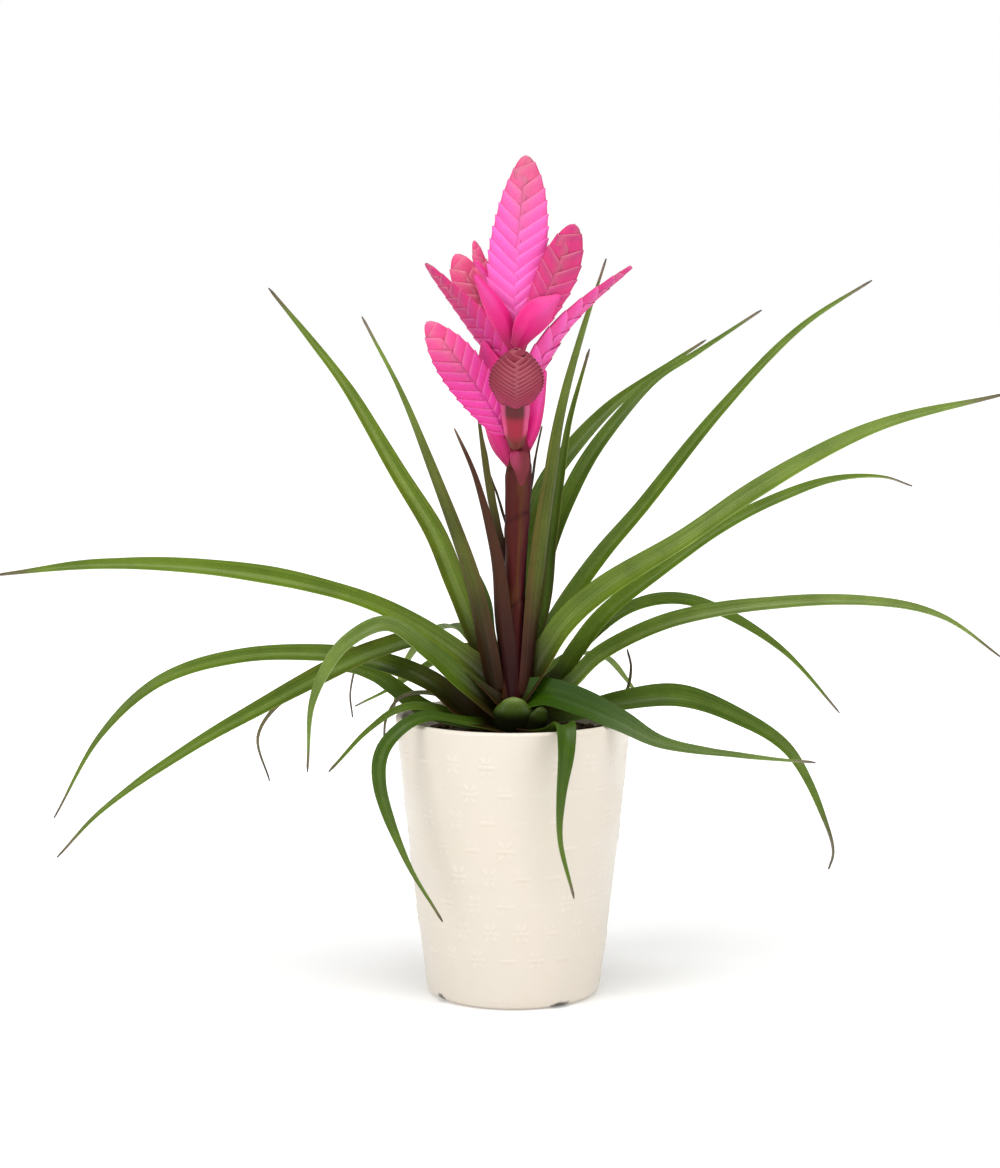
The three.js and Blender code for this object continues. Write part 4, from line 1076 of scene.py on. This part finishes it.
def addBract(work, row, path, tipAt, step, rank, tint, keelAndShadeTint):
    # one bract, folded along its keel at the paddle's edge, its two wings reaching in past
    # the rachis; each bract lies over the ones that start above it
    length = path[1][-1] / mm
    strength, first = row["strength"], row["first"]
    width = Vector(row["side"]).normalized()
    overlap = spikeMake["overlap"] + spikeMake["capReach"] * ease(1 - 2 * step / length, 1, tipAt)
    reach = spikeHalfWidth(row, tipAt)
    drop = reach / math.tan(math.radians(spikeMake["slant"])) + 0.5
    bractLength = min(drop + spikeMake["hidden"] * step, (tipAt - first * 1.15) * length)

    def place(u, v):
        below = bractLength * (1 - v)
        share = tipAt - below / length
        middle, ahead = placeOn(path, share)
        side = (width - ahead * width.dot(ahead)).normalized()
        half = spikeHalfWidth(row, share)
        tipOut = spikeMake["tipOut"] * reach * max(1 - below / step, 0.0)
        keel = max(half + tipOut - spikeMake["keelStep"] / step * below, 0.4)
        low = 1 - ease(first + 0.1, first + 0.4, tipAt)
        foot = spikeMake["foot"] + spikeMake["lowFoot"] * low
        keel *= foot + (1 - foot) * ease(0, spikeMake["rise"], v)
        inner = min((reach + overlap) * max(1 - below / drop, 0.0) - overlap, keel)
        inner = max(inner, -0.98 * keel)
        across = keel + (inner - keel) * u * u
        marginAt = drop * max(1 - (across + overlap) / (reach + overlap), 0.0)
        under = max(below - marginAt, 0.0)
        deepest = spikeMake["halfDepth"] * (0.4 + 0.6 * min(half / 8, 1.0))
        sink = spikeMake["faceStep"] * strength / step * under
        deep = max(deepest - sink, spikeMake["leastDepth"])
        lens = math.sqrt(max(1 - (across / keel) ** 2, 0.0))
        layer = 1 if u > 0 else -1
        point = middle + (side * rank * across + ahead.cross(side) * layer * deep * lens) * mm
        colour = layered(
            spikeColours, tint,
            (keelAndShadeTint, 0.5 * (1 - abs(u)) ** 1.5),
            # painted shade where the bract lies under its neighbours, and a painted highlight at its
            # free tip
            (keelAndShadeTint, 0.4 * strength * ease(0.3 * step, 1.6 * step, under)),
            ("rim", 0.25 * strength * (1 - ease(0, 0.35 * step, under))),
            ("edge", 0.5 * (1 - ease(0, 0.2, abs(u)))),
            ("seam", 0.4 * ease(0.7, 1, abs(u)) * ease(0.55, 0.9, tipAt)))
        return point, colour, 1.0

    verts = addSheet(work, spikeMake["across"], spikeMake["along"], place)
    bmesh.ops.remove_doubles(work, verts=verts, dist=0.004 * mm)
    faces = list({face for vert in verts if vert.is_valid for face in vert.link_faces})
    bmesh.ops.recalc_face_normals(work, faces=faces)
    bmesh.ops.solidify(work, geom=faces, thickness=spikeMake["thickness"] * mm)


def makeSpike(name, row, keelAndShadeTint, material):
    dice = random.Random(name)
    work = newWork()
    path = pathThrough(row["spine"])
    tints = [spikeColours[tint] for tint in row["tints"]]
    last = row["bracts"] - 1
    firstTip = row["first"] + spikeMake["firstTip"]
    step = (1 - firstTip) / last * path[1][-1] / mm
    shift, fade = spikeMake["tipJitter"], spikeMake["tintJitter"]
    for index in range(last + 1):
        tipAt = firstTip + (1 - firstTip) * index / last
        if index < last - spikeMake["steady"]:
            tipAt += dice.uniform(-shift, shift) * step * mm / path[1][-1]
        tint = flowing(tints, tipAt) * dice.uniform(1 - fade, 1 + fade)
        addBract(work, row, path, tipAt, step, 1 if index % 2 else -1, tint, keelAndShadeTint)
    addTube(work, path, spikeMake["rachis"], spikeMake["rachisSides"], spikeMake["rachisSteps"],
            lambda share, angle: spikeColours["stalk"])
    return newPiece(pieceName(name), work, [material], "spike", name, closed=True)


for name, row in spikeRows.items():
    if name == "spike_front":
        makeSpike(name, row, "keelBrown", mauveBract)
    else:
        makeSpike(name, row, "keel", spikeBract)
print("spikes made")


# ---- floor, light and camera

# the room's light is softer than the white wall that the camera sees
stage = {
    "floorRadius": 9.0, "floor": (0.93, 0.93, 0.93), "room": 0.4, "wall": 1.0,
    "leastFade": 0.2, "fadeFrom": 0.12, "fadeTo": 0.9,  # floor into wall
}
paperFinish = {
    "masks": [(mottle, {"Coarse": 3.0, "Fine": 300.0})],
    "layers": [("Stain", 0.05, (0.86, 0.86, 0.86), "MIX")],
    "sockets": {"Emission Strength": 0.8, "Roughness": 0.85},
}

lights = [
    {"name": "overhead", "place": (0.0, -0.35, 1.7), "size": (1.2, 1.2), "power": 21},
    {"name": "left", "place": (-1.5, -1.4, 0.9), "size": (1.0, 1.2), "power": 12.5},
    {"name": "right", "place": (1.7, -1.3, 0.7), "size": (1.0, 1.2), "power": 9.5},
]

# down: degrees below level
view = {"place": (-6 * mm, -1250 * mm, 325 * mm), "down": 6.4, "lens": 86.9, "sensor": 36}


def addObject(name, data):
    made = bpy.data.objects.new(name, data)
    bpy.context.scene.collection.objects.link(made)
    return made


def makeFloor():
    work = bmesh.new()
    bmesh.ops.create_circle(work, cap_ends=True, segments=96, radius=stage["floorRadius"])
    mesh = bpy.data.meshes.new("paleFloor")
    work.to_mesh(mesh)
    work.free()
    floor = addObject("paleFloor", mesh)
    material = newMaterial("palePaper", paperFinish, stage["floor"])
    tree = material.node_tree
    away = addNode(tree, "ShaderNodeVectorMath", operation="LENGTH")
    feed(tree, away.inputs[0], objectPoint(tree))
    fade = remap(tree, away.outputs["Value"], stage["fadeFrom"], stage["fadeTo"],
                 stage["leastFade"])
    glow = tree.nodes["Principled BSDF"].inputs["Emission Color"]
    feed(tree, glow, mixColours(tree, fade, (0, 0, 0), (1, 1, 1)))
    mesh.materials.append(material)


def makeLights():
    for row in lights:
        lamp = bpy.data.lights.new(row["name"], "AREA")
        lamp.shape = "RECTANGLE"
        lamp.size, lamp.size_y = row["size"]
        lamp.energy = row["power"]
        holder = addObject(row["name"], lamp)
        holder.location = row["place"]
        aim = Vector((0, 0, 0.2)) - holder.location
        holder.rotation_euler = aim.to_track_quat("-Z", "Y").to_euler()
    world = bpy.data.worlds.new("softRoom")
    world.use_nodes = True
    tree = world.node_tree
    background = tree.nodes["Background"].inputs
    feed(tree, background["Color"], (1, 1, 1))
    seen = addNode(tree, "ShaderNodeLightPath").outputs["Is Camera Ray"]
    strength = remap(tree, seen, 0.0, 1.0, stage["room"], stage["wall"], "LINEAR")
    feed(tree, background["Strength"], strength)
    bpy.context.scene.world = world
    bpy.context.scene.view_settings.view_transform = "Standard"


def makeCamera():
    lens = bpy.data.cameras.new("frontView")
    lens.lens = view["lens"]
    lens.sensor_width = view["sensor"]
    lens.clip_end = 50
    camera = addObject("frontView", lens)
    camera.location = view["place"]
    camera.rotation_euler = (math.radians(90 - view["down"]), 0, 0)
    bpy.context.scene.camera = camera


makeFloor()
makeLights()
makeCamera()

print("scene ready")
